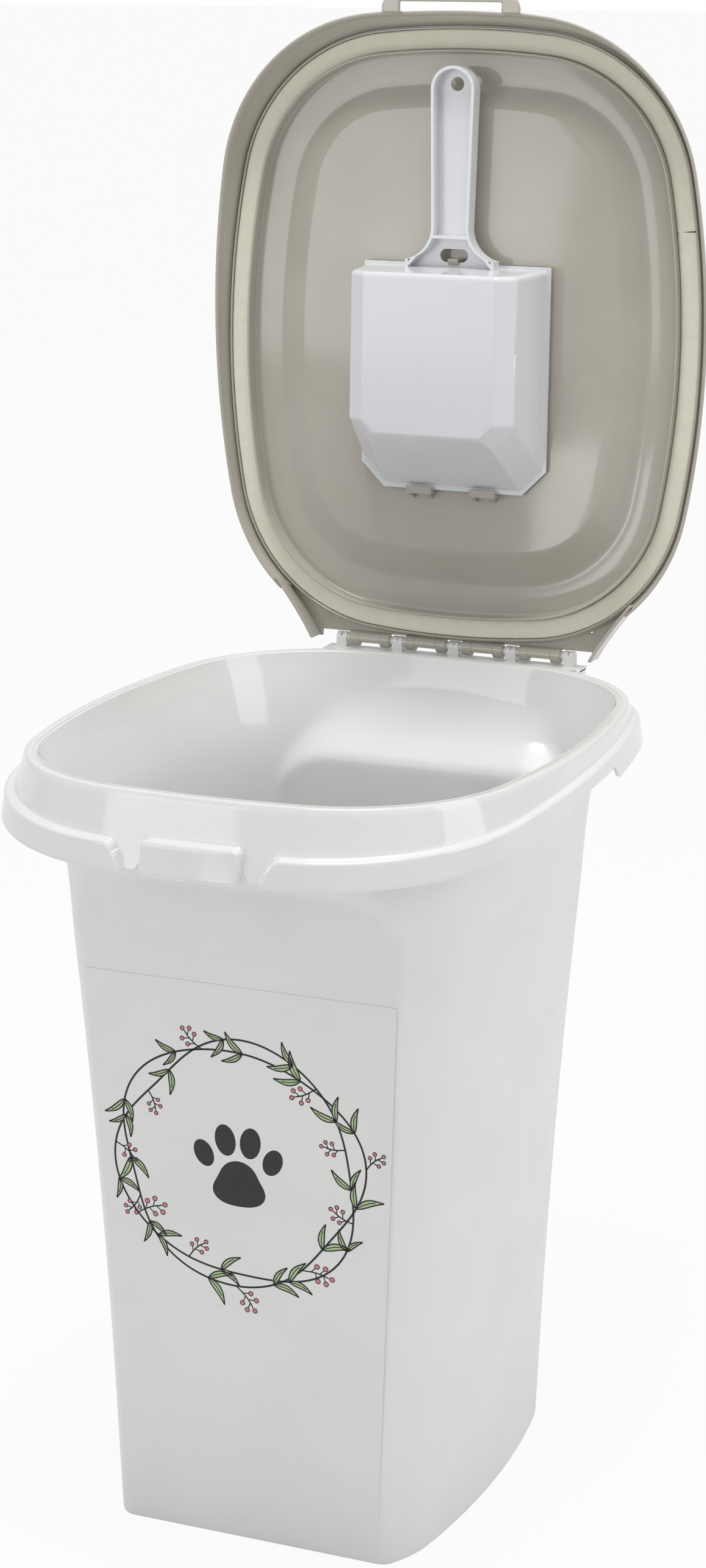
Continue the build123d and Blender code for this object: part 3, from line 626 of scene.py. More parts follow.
@dataclass(frozen=True)
class RimOutline:
    """Outline of the rim's top edge, which the tub, lid and seal all follow."""

    half_width: float = 160.0
    half_depth: float = 194.5
    corner: float = 106.0
    corner_x: float = 46.0
    corner_y: float = 86.0
    height: float = 480.0
    columns: Columns = Columns()

    def loop(self) -> tuple[np.ndarray, np.ndarray]:
        """Points and normals of the outline."""
        corner = (self.corner, self.corner_x, self.corner_y)
        return arc_loop(np.array([self.half_width, self.half_depth, *corner]), self.columns)

    def row(
        self, out: np.ndarray | float, z: np.ndarray | float, shift: np.ndarray | float = 0.0
    ) -> np.ndarray:
        """One row of points: the outline grown along its normals, moved in Y, at a height.

        Args:
            out: how far it is grown.
            z: height.
            shift: how far it is moved in Y.

        Returns:
            Points by column and axis.
        """
        base, normal = self.loop()
        grown = base + normal * np.broadcast_to(np.asarray(out, float), len(base))[:, None]
        y = grown[:, 1] + shift
        return np.stack([grown[:, 0], y, np.broadcast_to(np.asarray(z, float), len(base))], -1)


RIM = RimOutline()


@dataclass(frozen=True)
class HingeLine:
    """Line that the lid turns about, with the knuckles' pitch along it."""

    centre: tuple[float, float] = (202.6, 484.8)
    stop: float = 92.0
    pitch: float = 39.8
    knuckles: int = 4


HINGE = HingeLine()
BAND_DRAFT = math.tan(math.radians(16.0))


def opened(points: np.ndarray) -> np.ndarray:
    """Turn points of the closed lid about the hinge's line to the open stop.

    Args:
        points: points of any grid, with x, y and z last.

    Returns:
        The turned points.
    """
    angle = math.radians(HINGE.stop)
    cy, cz = HINGE.centre
    y, z = points[..., 1] - cy, points[..., 2] - cz
    c, s = math.cos(angle), math.sin(angle)
    return np.stack([points[..., 0], cy + y * c + z * s, cz - y * s + z * c], -1)


# ---- tub -------------------------------------------------------------------------
@dataclass
class Tub:
    """Tapered tub with flat front and rear panels, its drafted rim, ledge and skirt.

    The panel's edge value is the run of its sloped border for each millimetre beyond its
    arch; the cleft is its place, depth and half width; the grip is its start, stop and rise.
    """

    base: tuple[float, float, float, float, float] = (107.8, 158.0, 74.6, 26.8, 81.9)
    mouth_inset: float = 5.4
    wall: float = 2.4
    floor: float = 3.0
    flare_share: tuple[float, ...] = (0.0, 0.25, 0.5, 0.75, 0.896, 1.0)
    flare_grown: tuple[float, ...] = (0.0, 0.118, 0.282, 0.503, 0.665, 1.0)
    panel_foot: float = 128.0
    panel_slope: float = 0.0434
    panel_half: float = 108.0
    panel_top: float = 416.0
    panel_corner: float = 46.0
    panel_edge: float = 1.036
    panel_round: float = 5.0
    panel_fold: float = 3.0
    arch_margin: tuple[float, float] = (18.0, 22.0)
    band_draft: float = BAND_DRAFT
    skirt_draft: float = math.tan(math.radians(8.6))
    skirt_out: float = 6.876
    skirt_shift: float = -4.2
    skirt_height: float = 16.4
    ledge_points: tuple[tuple[float, float], ...] = ((-207.3, 452.0), (0.0, 468.6), (198.9, 470.2))
    ledge_round: float = 1.8
    rim_wall: float = 2.2
    rim_round: float = 1.3
    groove: tuple[float, float, float] = (5.0, 6.2, 0.8)
    block_half: float = 29.0
    block_top: float = 456.4
    block_round: float = 3.0
    notch_foot: float = 41.0
    notch_top: float = 47.0
    notch_round: float = 5.5
    edge_width: float = 1.3
    cleft: tuple[float, float, float] = (32.0, 4.5, 2.6)
    grip: tuple[float, float, float] = (-54.0, 37.0, 8.0)
    grip_ramps: tuple[float, float] = (14.0, 5.0)
    floor_round: float = 7.0
    foot_round: float = 2.2

    def outer(self, z: np.ndarray, inset: float) -> np.ndarray:
        """Rows of the tub's wall at given heights.

        The outline grows from the footprint to the mouth by a smooth curve of the height.
        Its depth is then limited to the flat panel's plane, which leans out with height and
        runs out at a slope beyond its arch; the crease between them is rounded. Points near
        the sides, nearer the middle plane than 0.4 of the panel's distance, stay as they are.

        Args:
            z: heights.
            inset: distance in from the outer face.

        Returns:
            Points by row, column and axis.
        """
        flare = (np.array(self.flare_share), np.array(self.flare_grown))
        share = smooth_through(z / RIM.height, *flare)
        m = self.mouth_inset
        mouth = np.array(
            [RIM.half_width - m, RIM.half_depth - m, RIM.corner - m, RIM.corner_x, RIM.corner_y]
        )
        foot = np.array(self.base)
        sizes = foot + (mouth - foot) * share[:, None]
        sizes = sizes - np.array([inset, inset, inset, 0.0, 0.0])
        points, _ = arc_loop(sizes, RIM.columns)
        x, y = points[..., 0], points[..., 1]
        level = z[:, None]
        radius = self.panel_corner + inset
        over_x = np.abs(x) - (self.panel_half + inset - radius)
        over_z = level - (self.panel_top + inset - radius)
        beyond = np.hypot(np.maximum(over_x, 0), np.maximum(over_z, 0))
        beyond = beyond + np.minimum(np.maximum(over_x, over_z), 0) - radius
        plane = self.panel_foot - inset + self.panel_slope * level
        within = smooth_least(0 * beyond, -beyond, self.panel_fold)
        limit = plane + self.panel_edge * within * -1.0
        depth = smooth_least(np.abs(y), limit, self.panel_round)
        keep = np.abs(y) < 0.4 * plane
        y = np.where(keep, y, np.sign(y) * depth)
        return np.stack([x, y, np.broadcast_to(level, x.shape)], -1)

    def ledge(self, y: np.ndarray) -> np.ndarray:
        """Height of the ledge, on the circle through its front, side and rear points.

        Args:
            y: distances towards the hinge.

        Returns:
            A height for each.
        """
        p = np.array(self.ledge_points)
        lhs = np.column_stack([2 * p, np.ones(3)])
        yc, zc, rest = np.linalg.solve(lhs, (p**2).sum(1))
        return zc + np.sqrt(rest + yc**2 + zc**2 - (y - yc) ** 2)

    def rim_rows(self) -> list[np.ndarray]:
        """Rows from the mouth's inner edge over the rim, band, ledge and skirt and back up.

        The skirt stands out from the band by a share that is 1 on it and on the catch block
        and 0 in the two notches, and that runs out over a narrow width at their edges.

        Returns:
            Rows of points, each with its columns anticlockwise.
        """
        base, _ = RIM.loop()
        x, front = np.abs(base[:, 0]), base[:, 1] < 0
        ledge = self.ledge(base[:, 1] + self.skirt_shift)
        foot = ledge - self.skirt_height
        start, stop, rise = self.grip
        side = x > 0.6 * RIM.half_width
        up, down = self.grip_ramps
        grip = smooth_step((base[:, 1] - start) / up) * smooth_step((stop - base[:, 1]) / down)
        foot = foot + np.where(side, rise * grip, 0.0)
        centre, depth, width = self.cleft
        cut = np.clip(1 - np.abs(x - centre) / width, 0, 1)
        foot = foot + np.where(front, depth * cut, 0.0)

        def corner(radius: float, into: np.ndarray) -> np.ndarray:
            """Drop of a rounded corner at a distance into it."""
            return radius - np.sqrt(radius**2 - np.clip(into, 0, radius) ** 2)

        block = self.block_top - corner(self.block_round, x - self.block_half + self.block_round)
        skirt = ledge - corner(self.notch_round, self.notch_top + self.notch_round - x)
        share = smooth_step((x - self.block_half) / (self.notch_top - self.block_half))
        step = np.where(front, block * (1 - share) + skirt * share, ledge)

        def mask(z: np.ndarray) -> np.ndarray:
            """Give 1 on the skirt and the block and 0 in the notches, at heights z."""
            slope = (self.notch_top - self.notch_foot) / (ledge - foot)
            end = self.notch_foot + slope * np.clip(z - foot, 0, None)
            on_skirt = smooth_step((x - end) / self.edge_width + 0.5)
            on_block = smooth_step((self.block_half - x) / self.edge_width + 0.5)
            return np.where(front, np.maximum(on_skirt, on_block), 1.0)

        def wall(z: np.ndarray, share_out: np.ndarray | float, inset: float = 0.0) -> np.ndarray:
            """Row at heights z: the band at share 0, the skirt at share 1, with an inset."""
            drop = RIM.height - z
            band = RIM.row(drop * self.band_draft - inset, z)
            face = RIM.row(self.skirt_out + drop * self.skirt_draft - inset, z, self.skirt_shift)
            part = np.asarray(mask(z) * share_out)[:, None]
            return band + (face - band) * part

        groove_in, groove_out, groove_deep = self.groove
        inner = self.mouth_inset + self.wall
        h, r = RIM.height, self.rim_round
        rows = []
        for off, down in bend_steps(0, 90, 5):
            rows.append(RIM.row(-inner + r * down, h - r * off))
        for inset, drop in (
            (groove_out + 0.2, 0.0),
            (groove_out, 0.1),
            (groove_out - 0.15, groove_deep),
            (groove_in + 0.15, groove_deep),
            (groove_in, 0.1),
            (groove_in - 0.2, 0.0),
            (2.6, 0.0),
        ):
            rows.append(RIM.row(-inset, h - drop))
        for off, down in bend_steps(0, 74, 6):
            rows.append(RIM.row(-r * off, h - r * down))
        for t in np.linspace(0.02, 1, 9):
            z = h - r + (step + 1.2 - h + r) * t
            rows.append(wall(z, 0.0))
        width = np.linalg.norm((wall(step, 1.0) - wall(step, 0.0))[:, :2], axis=1)
        bend = np.minimum(self.ledge_round, 0.5 * width)
        edge = 1 - bend / np.maximum(width, 0.2)
        rows += [wall(step + 0.4, 0.03), wall(step + 0.1, 0.10), wall(step, 0.24)]
        rows += [wall(step, 0.6 * edge), wall(step, 0.85 * edge)]
        for t in np.linspace(0, 90, 6):
            a = math.radians(t)
            rows.append(wall(step - bend * (1 - math.cos(a)), edge + (1 - edge) * math.sin(a)))
        for t in np.linspace(0.08, 1, 9):
            z = step - bend + (foot + 0.9 - step + bend) * t
            rows.append(wall(z, 1.0))
        half = self.rim_wall / 2
        for up, off in bend_steps(15, 165, 6):
            rows.append(wall(foot + half * up, 1.0, half * off))
        w = self.rim_wall
        for t in np.linspace(0.05, 1, 5):
            rows.append(wall(foot + half + (step - w - foot - half) * t, 1.0, w))
        rows.append(wall(step - w, 0.0, w))
        for t in np.linspace(0.3, 1, 3):
            rows.append(wall(step - w + (h - w - step + w) * t, 0.0, w))
        return rows

    def wall_levels(self, low: float, high: float) -> np.ndarray:
        """Heights for the wall's rows, close together where the panel's arch turns.

        Args:
            low: lowest height.
            high: highest height.

        Returns:
            Rising heights.
        """
        below, above = self.arch_margin
        arch = self.panel_top - self.panel_corner - below
        return np.concatenate(
            [
                np.linspace(low, arch, 15, endpoint=False),
                np.linspace(arch, self.panel_top + above, 26, endpoint=False),
                np.linspace(self.panel_top + above, high, 5),
            ]
        )

    def shell(self) -> np.ndarray:
        """Whole tub as one grid: inside floor, inner wall, rim, skirt, outer wall, underside.

        Returns:
            Points by row, column and axis.
        """
        rows = []
        bend = self.floor_round
        floor = self.outer(np.array([self.floor]), self.wall)[0]
        for share in (0.35, 0.7, 0.93):
            rows.append(floor * [share, share, 1.0])
        for off, up in bend_steps(0, 90, 6):
            z = self.floor + bend * up
            rows.append(self.outer(np.array([z]), self.wall + bend * off)[0])
        low, high = self.floor + bend, RIM.height - self.rim_round
        rows += list(self.outer(self.wall_levels(low, high), self.wall)[1:-1])
        rows += self.rim_rows()
        top = RIM.height - self.rim_wall
        r = self.foot_round
        rows += list(self.outer(self.wall_levels(r, top)[::-1], 0.0))
        for up, off in bend_steps(20, 90, 4):
            rows.append(self.outer(np.array([max(r * up, 0.0)]), r * off)[0])
        foot = rows[-1]
        for share in (0.9, 0.5):
            rows.append(foot * [share, share, 1.0])
        return np.stack(rows)

    def build(self, plastic: bpy.types.Material) -> None:
        """Make the tub's shell in place of the plain one.

        Args:
            plastic: its finish.
        """
        parts = MeshParts()
        parts.add_shell(self.shell())
        shell = parts.piece("tub_shell", Body.TUB, "tub_plastic", plastic)
        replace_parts(shell, "bin_body")


@dataclass
class HingeBracket:
    """Shelf with gussets behind the rim, the V-topped lugs on it and the rod they carry."""

    rod_radius: float = 3.0
    lug_radius: float = 3.7
    lug_width: float = 7.0
    saddle_half: float = 0.5
    notch_depth: float = 2.6
    shelf_half: float = 90.0
    shelf_top: float = 478.92
    shelf_front: float = 192.0
    wall: float = 2.2
    rib_front: float = 188.0
    rib_drop: float = 9.0
    bite: float = 0.6
    edge: float = 0.4

    def lug_centres(self) -> np.ndarray:
        """X of each lug; there is one more of them than there are knuckles."""
        return HINGE.pitch * (np.arange(HINGE.knuckles + 1) - HINGE.knuckles / 2)

    def shelf(self) -> MeshParts:
        """Shelf along X, with a rib below each lug and at both ends."""
        rear, top = HINGE.centre[0] + self.lug_radius, self.shelf_top
        foot, front = top - self.wall, self.shelf_front
        section = np.array([(front, foot), (rear, foot), (rear, top), (front, top)])
        parts = MeshParts()
        parts.add_prism(section, Along.X, -self.shelf_half, self.shelf_half)
        rib = np.array(
            [
                (self.rib_front, top - self.bite),
                (self.rib_front, foot - self.rib_drop),
                (rear - self.wall, foot - self.wall),
                (rear - self.wall, top - self.bite),
            ]
        )
        end = self.shelf_half - self.wall / 2
        for x in (*self.lug_centres(), -end, end):
            parts.add_prism(rib, Along.X, x - self.wall / 2, x + self.wall / 2)
        return parts

    def lugs(self) -> MeshParts:
        """Round-topped lugs, each cut down to a saddle at its middle."""
        (y, z), r = HINGE.centre, self.lug_radius
        low = self.shelf_top - self.bite
        top = arc_points((y, z), r, 0, 180, 17)
        shape = np.concatenate([[(y + r, low)], top, [(y - r, low)]])
        saddle = shape.copy()
        saddle[:, 1] = np.minimum(saddle[:, 1], z + r - self.notch_depth)
        mid, half = self.saddle_half, self.lug_width / 2
        parts = MeshParts()
        for x in self.lug_centres():
            for side in (-1, 1):
                inner, outer = sorted((x + side * mid, x + side * half))
                parts.add_prism(shape, Along.X, inner, outer)
            parts.add_prism(saddle, Along.X, x - mid, x + mid)
        return parts

    def rod(self) -> MeshParts:
        """Rod from the first lug to the last."""
        circle = arc_points(HINGE.centre, self.rod_radius, 0, 360, 33)[:-1]
        reach = self.lug_centres()[-1]
        parts = MeshParts()
        parts.add_prism(circle, Along.X, -reach, reach)
        return parts

    def build(self, plastic: bpy.types.Material) -> None:
        """Make the bracket, the lugs and the rod in place of the plain ones.

        Args:
            plastic: their finish.
        """
        bracket = self.shelf().piece("hinge_bracket", Body.TUB, "tub_plastic", plastic)
        round_edges(bracket, self.edge, segments=2, angle=30.0)
        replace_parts(bracket, "bin_body")
        lugs = self.lugs().piece("hinge_lugs", Body.TUB, "tub_plastic", plastic)
        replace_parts(lugs, "bin_body")
        rod = self.rod().piece("hinge_rod", Body.TUB, "tub_plastic", plastic)
        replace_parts(rod, "bin_body")


# ---- label -----------------------------------------------------------------------
@dataclass
class Wreath:
    """Printed ring of two twining stems with leaves and berry twigs round a paw print.

    Drawn flat in u and v, u across and v up the panel, then laid on the film. The leaning
    angles, in radians, are between a leaf or twig and its stem.
    """

    radius_u: float = 75.5
    radius_v: float = 74.0
    centre_u: float = -3.0
    centre_z: float = 244.0
    twine: float = 5.2
    twists: int = 3
    ripple: float = 1.4
    shoots: int = 22
    stem: float = 1.25
    line: float = 0.85
    leaf_length: float = 17.0
    leaf_width: float = 4.2
    leaf_bend: float = 1.6
    leaf_lean: float = 0.75
    twig_length: float = 15.0
    twig_bend: float = 2.0
    twig_lean: float = 0.95
    stalk: tuple[float, float] = (4.2, 2.6)
    berry: float = 1.35
    pad_radius: float = 15.5
    pad_low: float = 13.0
    panel_foot: float = 128.0
    panel_slope: float = 0.0434
    film: float = 0.3
    lift: float = 0.04
    seed: int = 11
    dark: MeshParts = field(default_factory=MeshParts)
    green: MeshParts = field(default_factory=MeshParts)
    pink: MeshParts = field(default_factory=MeshParts)

    def lay(self, flat: np.ndarray, layer: int) -> np.ndarray:
        """Put flat points on the film: v runs up its slope, each layer a little prouder.

        Args:
            flat: points as u and v.
            layer: 1 for the lowest ink, then 2 and 3.

        Returns:
            Points as x, y and z.
        """
        tilt = math.atan(self.panel_slope)
        z = self.centre_z + flat[:, 1] * math.cos(tilt)
        y = -(self.panel_foot + self.panel_slope * z) - self.film - self.lift * layer
        return np.stack([flat[:, 0] + self.centre_u, y, z], -1)

    def ribbon(self, parts: MeshParts, line: np.ndarray, width: float, layer: int) -> None:
        """Add a flat ribbon: the line's points moved to both sides along its normal.

        Args:
            parts: mesh of the ribbon's ink.
            line: points as u and v.
            width: width of the ribbon.
            layer: ink layer.
        """
        step = np.gradient(line, axis=0)
        side = np.stack([-step[:, 1], step[:, 0]], -1)
        side = side / np.maximum(np.linalg.norm(side, axis=1), 1e-9)[:, None]
        half = width / 2
        both = np.concatenate([line + side * half, line - side * half])
        n = len(line)
        j = np.arange(n - 1)
        faces = np.stack([j, n + j, n + j + 1, j + 1], -1).tolist()
        parts.add(self.lay(both, layer), faces)

    def patch(self, parts: MeshParts, outline: np.ndarray, layer: int) -> None:
        """Add one flat face in an ink's mesh, its outline anticlockwise."""
        parts.add(self.lay(outline, layer), [list(range(len(outline)))])

    def leaf(self, root: np.ndarray, angle: float, size: float) -> None:
        """Draw a pointed leaf: half width is the sine of its length's share, drawn to a tip.

        Args:
            root: where it leaves the stem.
            angle: its direction in radians.
            size: its scale.
        """
        t = np.linspace(0, 1, 15)
        half = self.leaf_width * size / 2 * np.sin(math.pi * t**0.8) * (1 - 0.25 * t)
        bend = self.leaf_bend * size * np.sin(math.pi * t)
        along = self.leaf_length * size * t
        c, s = math.cos(angle), math.sin(angle)
        turn = np.array([[c, s], [-s, c]])
        upper = np.stack([along, bend + half], -1) @ turn + root
        lower = np.stack([along, bend - half], -1) @ turn + root
        self.patch(self.green, np.concatenate([lower, upper[::-1][1:-1]]), 2)
        self.ribbon(self.dark, upper, self.line, 3)
        self.ribbon(self.dark, lower, self.line, 3)
        vein = np.stack([along, bend], -1) @ turn + root
        self.ribbon(self.dark, vein[:11], self.line * 0.7, 3)

    def twig(self, root: np.ndarray, angle: float, size: float) -> None:
        """Draw a berry twig: a bent stem with a berry at its tip and four on short stalks.

        Args:
            root: where it leaves the wreath's stem.
            angle: its direction in radians.
            size: its scale.
        """
        direction = np.array([math.cos(angle), math.sin(angle)])
        across = np.array([-direction[1], direction[0]])
        t = np.linspace(0, 1, 9)[:, None]
        length, bend = self.twig_length, self.twig_bend
        stem = root + direction * length * size * t + across * bend * np.sin(t * 2.2)
        self.ribbon(self.dark, stem, self.line, 1)
        for share, side in ((0.35, 1), (0.5, -1), (0.68, 1), (0.82, -1), (1.0, 0)):
            at = root + direction * length * size * share
            at = at + across * bend * math.sin(share * 2.2)
            tip = at + across * side * self.stalk[0] * size + direction * self.stalk[1] * size
            self.ribbon(self.dark, np.linspace(at, tip, 3), self.line * 0.8, 1)
            ring = arc_points(tuple(tip), self.berry * size, 0, 360, 15)
            self.patch(self.pink, ring[:-1], 2)
            self.ribbon(self.dark, ring, self.line * 0.6, 3)

    def paw(self) -> None:
        """Draw a plain paw print: a three-lobed pad and four leaning oval toes."""
        t = np.linspace(0, 2 * math.pi, 60, endpoint=False)
        radius = self.pad_radius + 1.6 * np.cos(3 * t + math.pi / 2) - 1.2 * np.cos(2 * t)
        pad = np.stack(
            [radius * 1.12 * np.cos(t), radius * 0.86 * np.sin(t) - self.pad_low], -1
        )
        self.patch(self.dark, pad, 1)
        for u, v, wide, tall, lean in (
            (-22.0, 5.0, 6.0, 8.6, 24.0),
            (-8.0, 15.0, 6.6, 9.8, 8.0),
            (8.0, 15.0, 6.6, 9.8, -8.0),
            (22.0, 5.0, 6.0, 8.6, -24.0),
        ):
            a = math.radians(lean)
            oval = np.stack([wide * np.cos(t), tall * np.sin(t)], -1)
            turn = np.array([[math.cos(a), math.sin(a)], [-math.sin(a), math.cos(a)]])
            self.patch(self.dark, oval @ turn + [u, v], 1)

    def stem_line(self, angle: np.ndarray, side: int) -> np.ndarray:
        """Points of one stem: an ellipse whose radius sways, the two in opposite phase.

        Args:
            angle: angles round the ring, in radians.
            side: 1 for one stem and -1 for the other.

        Returns:
            Points as u and v.
        """
        sway = side * self.twine * np.sin(self.twists * angle + 0.7)
        sway = sway + self.ripple * np.sin(5 * angle + side)
        return np.stack(
            [(self.radius_u + sway) * np.cos(angle), (self.radius_v + sway) * np.sin(angle)], -1
        )

    def build(self, inks: dict[str, bpy.types.Material]) -> None:
        """Draw the wreath and make one piece for each ink.

        Args:
            inks: material of each ink by its name.
        """
        rng = np.random.default_rng(self.seed)
        angle = np.linspace(0, 2 * math.pi, 161)
        for side in (-1, 1):
            self.ribbon(self.dark, self.stem_line(angle, side), self.stem, 1)
        for i in range(self.shoots):
            for side in (-1, 1):
                at = 2 * math.pi * (i + 0.25 * side + 0.3 * rng.random()) / self.shoots
                root, ahead = self.stem_line(np.array([at, at + 0.01]), side)
                along = math.atan2(*(ahead - root)[::-1])
                size = 0.82 + 0.3 * rng.random()
                if i % 2 == (side + 1) // 2:
                    out = self.leaf_lean if side > 0 else -self.leaf_lean
                    self.leaf(root, along - out, size)
                    self.leaf(root, along + out * 0.7, size * 0.9)
                elif i % 3 == 0 or rng.random() < 0.35:
                    lean = self.twig_lean + 0.3 * rng.random()
                    self.twig(root, along - side * lean, size)
        self.paw()
        for parts, name, ink in (
            (self.dark, "print_lines", "dark"),
            (self.green, "print_leaves", "leaf"),
            (self.pink, "print_berries", "berry"),
        ):
            parts.piece(name, Body.TUB, "label_film", inks[ink])


# ---- seal ------------------------------------------------------------------------
@dataclass
class Seal:
    """Foam strip in the lid's channel: soft edges, slight waves, a butt joint on +X.

    Its lower face swells by a product of two sines of the run round the strip and a third
    sine; their wave lengths over 2 pi are the three wave runs.
    """

    outer: float = -0.6
    width: float = 12.6
    low: float = 480.2
    high: float = 484.6
    round: float = 1.5
    edge: float = 0.3
    joint: tuple[float, float] = (160.0, -73.8)
    joint_half: float = 0.8
    wave: float = 0.22
    wave_runs: tuple[float, float, float] = (7.3, 31.0, 3.9)

    def build(self, foam: bpy.types.Material) -> None:
        """Make the strip: a rounded section carried round the rim's outline.

        Args:
            foam: its finish.
        """
        base, _ = RIM.loop()
        run = np.concatenate([[0], np.cumsum(np.linalg.norm(np.diff(base, axis=0), axis=1))])
        short, long, fine = self.wave_runs
        wave = np.sin(run / short) * np.sin(run / long) + 0.6 * np.sin(run / fine + 1.0)
        wave = self.wave * wave
        r, edge = self.round, self.edge
        inner = self.outer + self.width
        section = []
        for centre, radius, start in (
            ((self.outer + r, self.low + r), r, 180),
            ((inner - r, self.low + r), r, 270),
            ((inner - edge, self.high - edge), edge, 0),
            ((self.outer + edge, self.high - edge), edge, 90),
        ):
            section += list(arc_points(centre, radius, start, start + 90, 6))
        rows = []
        for inset, z in section:
            soft = np.where(z < self.low + r, 1.0, 0.3)
            rows.append(RIM.row(-inset, z + np.abs(wave) * soft * 0.8))
        grid = np.stack(rows)
        bearing = np.arctan2(base[:, 1], base[:, 0]) - math.atan2(self.joint[1], self.joint[0])
        order = np.argsort(bearing % (2 * math.pi))
        grid = grid[:, order]
        ends = []
        for column, side in ((grid[:, :1], 1), (grid[:, -1:], -1)):
            moved = column.copy()
            moved[..., 1] = self.joint[1] + side * self.joint_half
            ends.append(moved)
        grid = np.concatenate([ends[0], grid, ends[1]], axis=1)
        n_rows, n_cols, _ = grid.shape
        quads = grid_faces(n_cols, n_rows)
        points = grid.transpose(1, 0, 2)
        caps = [list(range(n_rows))[::-1], list(range((n_cols - 1) * n_rows, n_cols * n_rows))]
        parts = MeshParts()
        parts.add(opened(points), quads.tolist() + caps)
        piece = parts.piece("foam_strip", Body.LID, "seal_foam", foam)
        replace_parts(piece, "seal_strip")


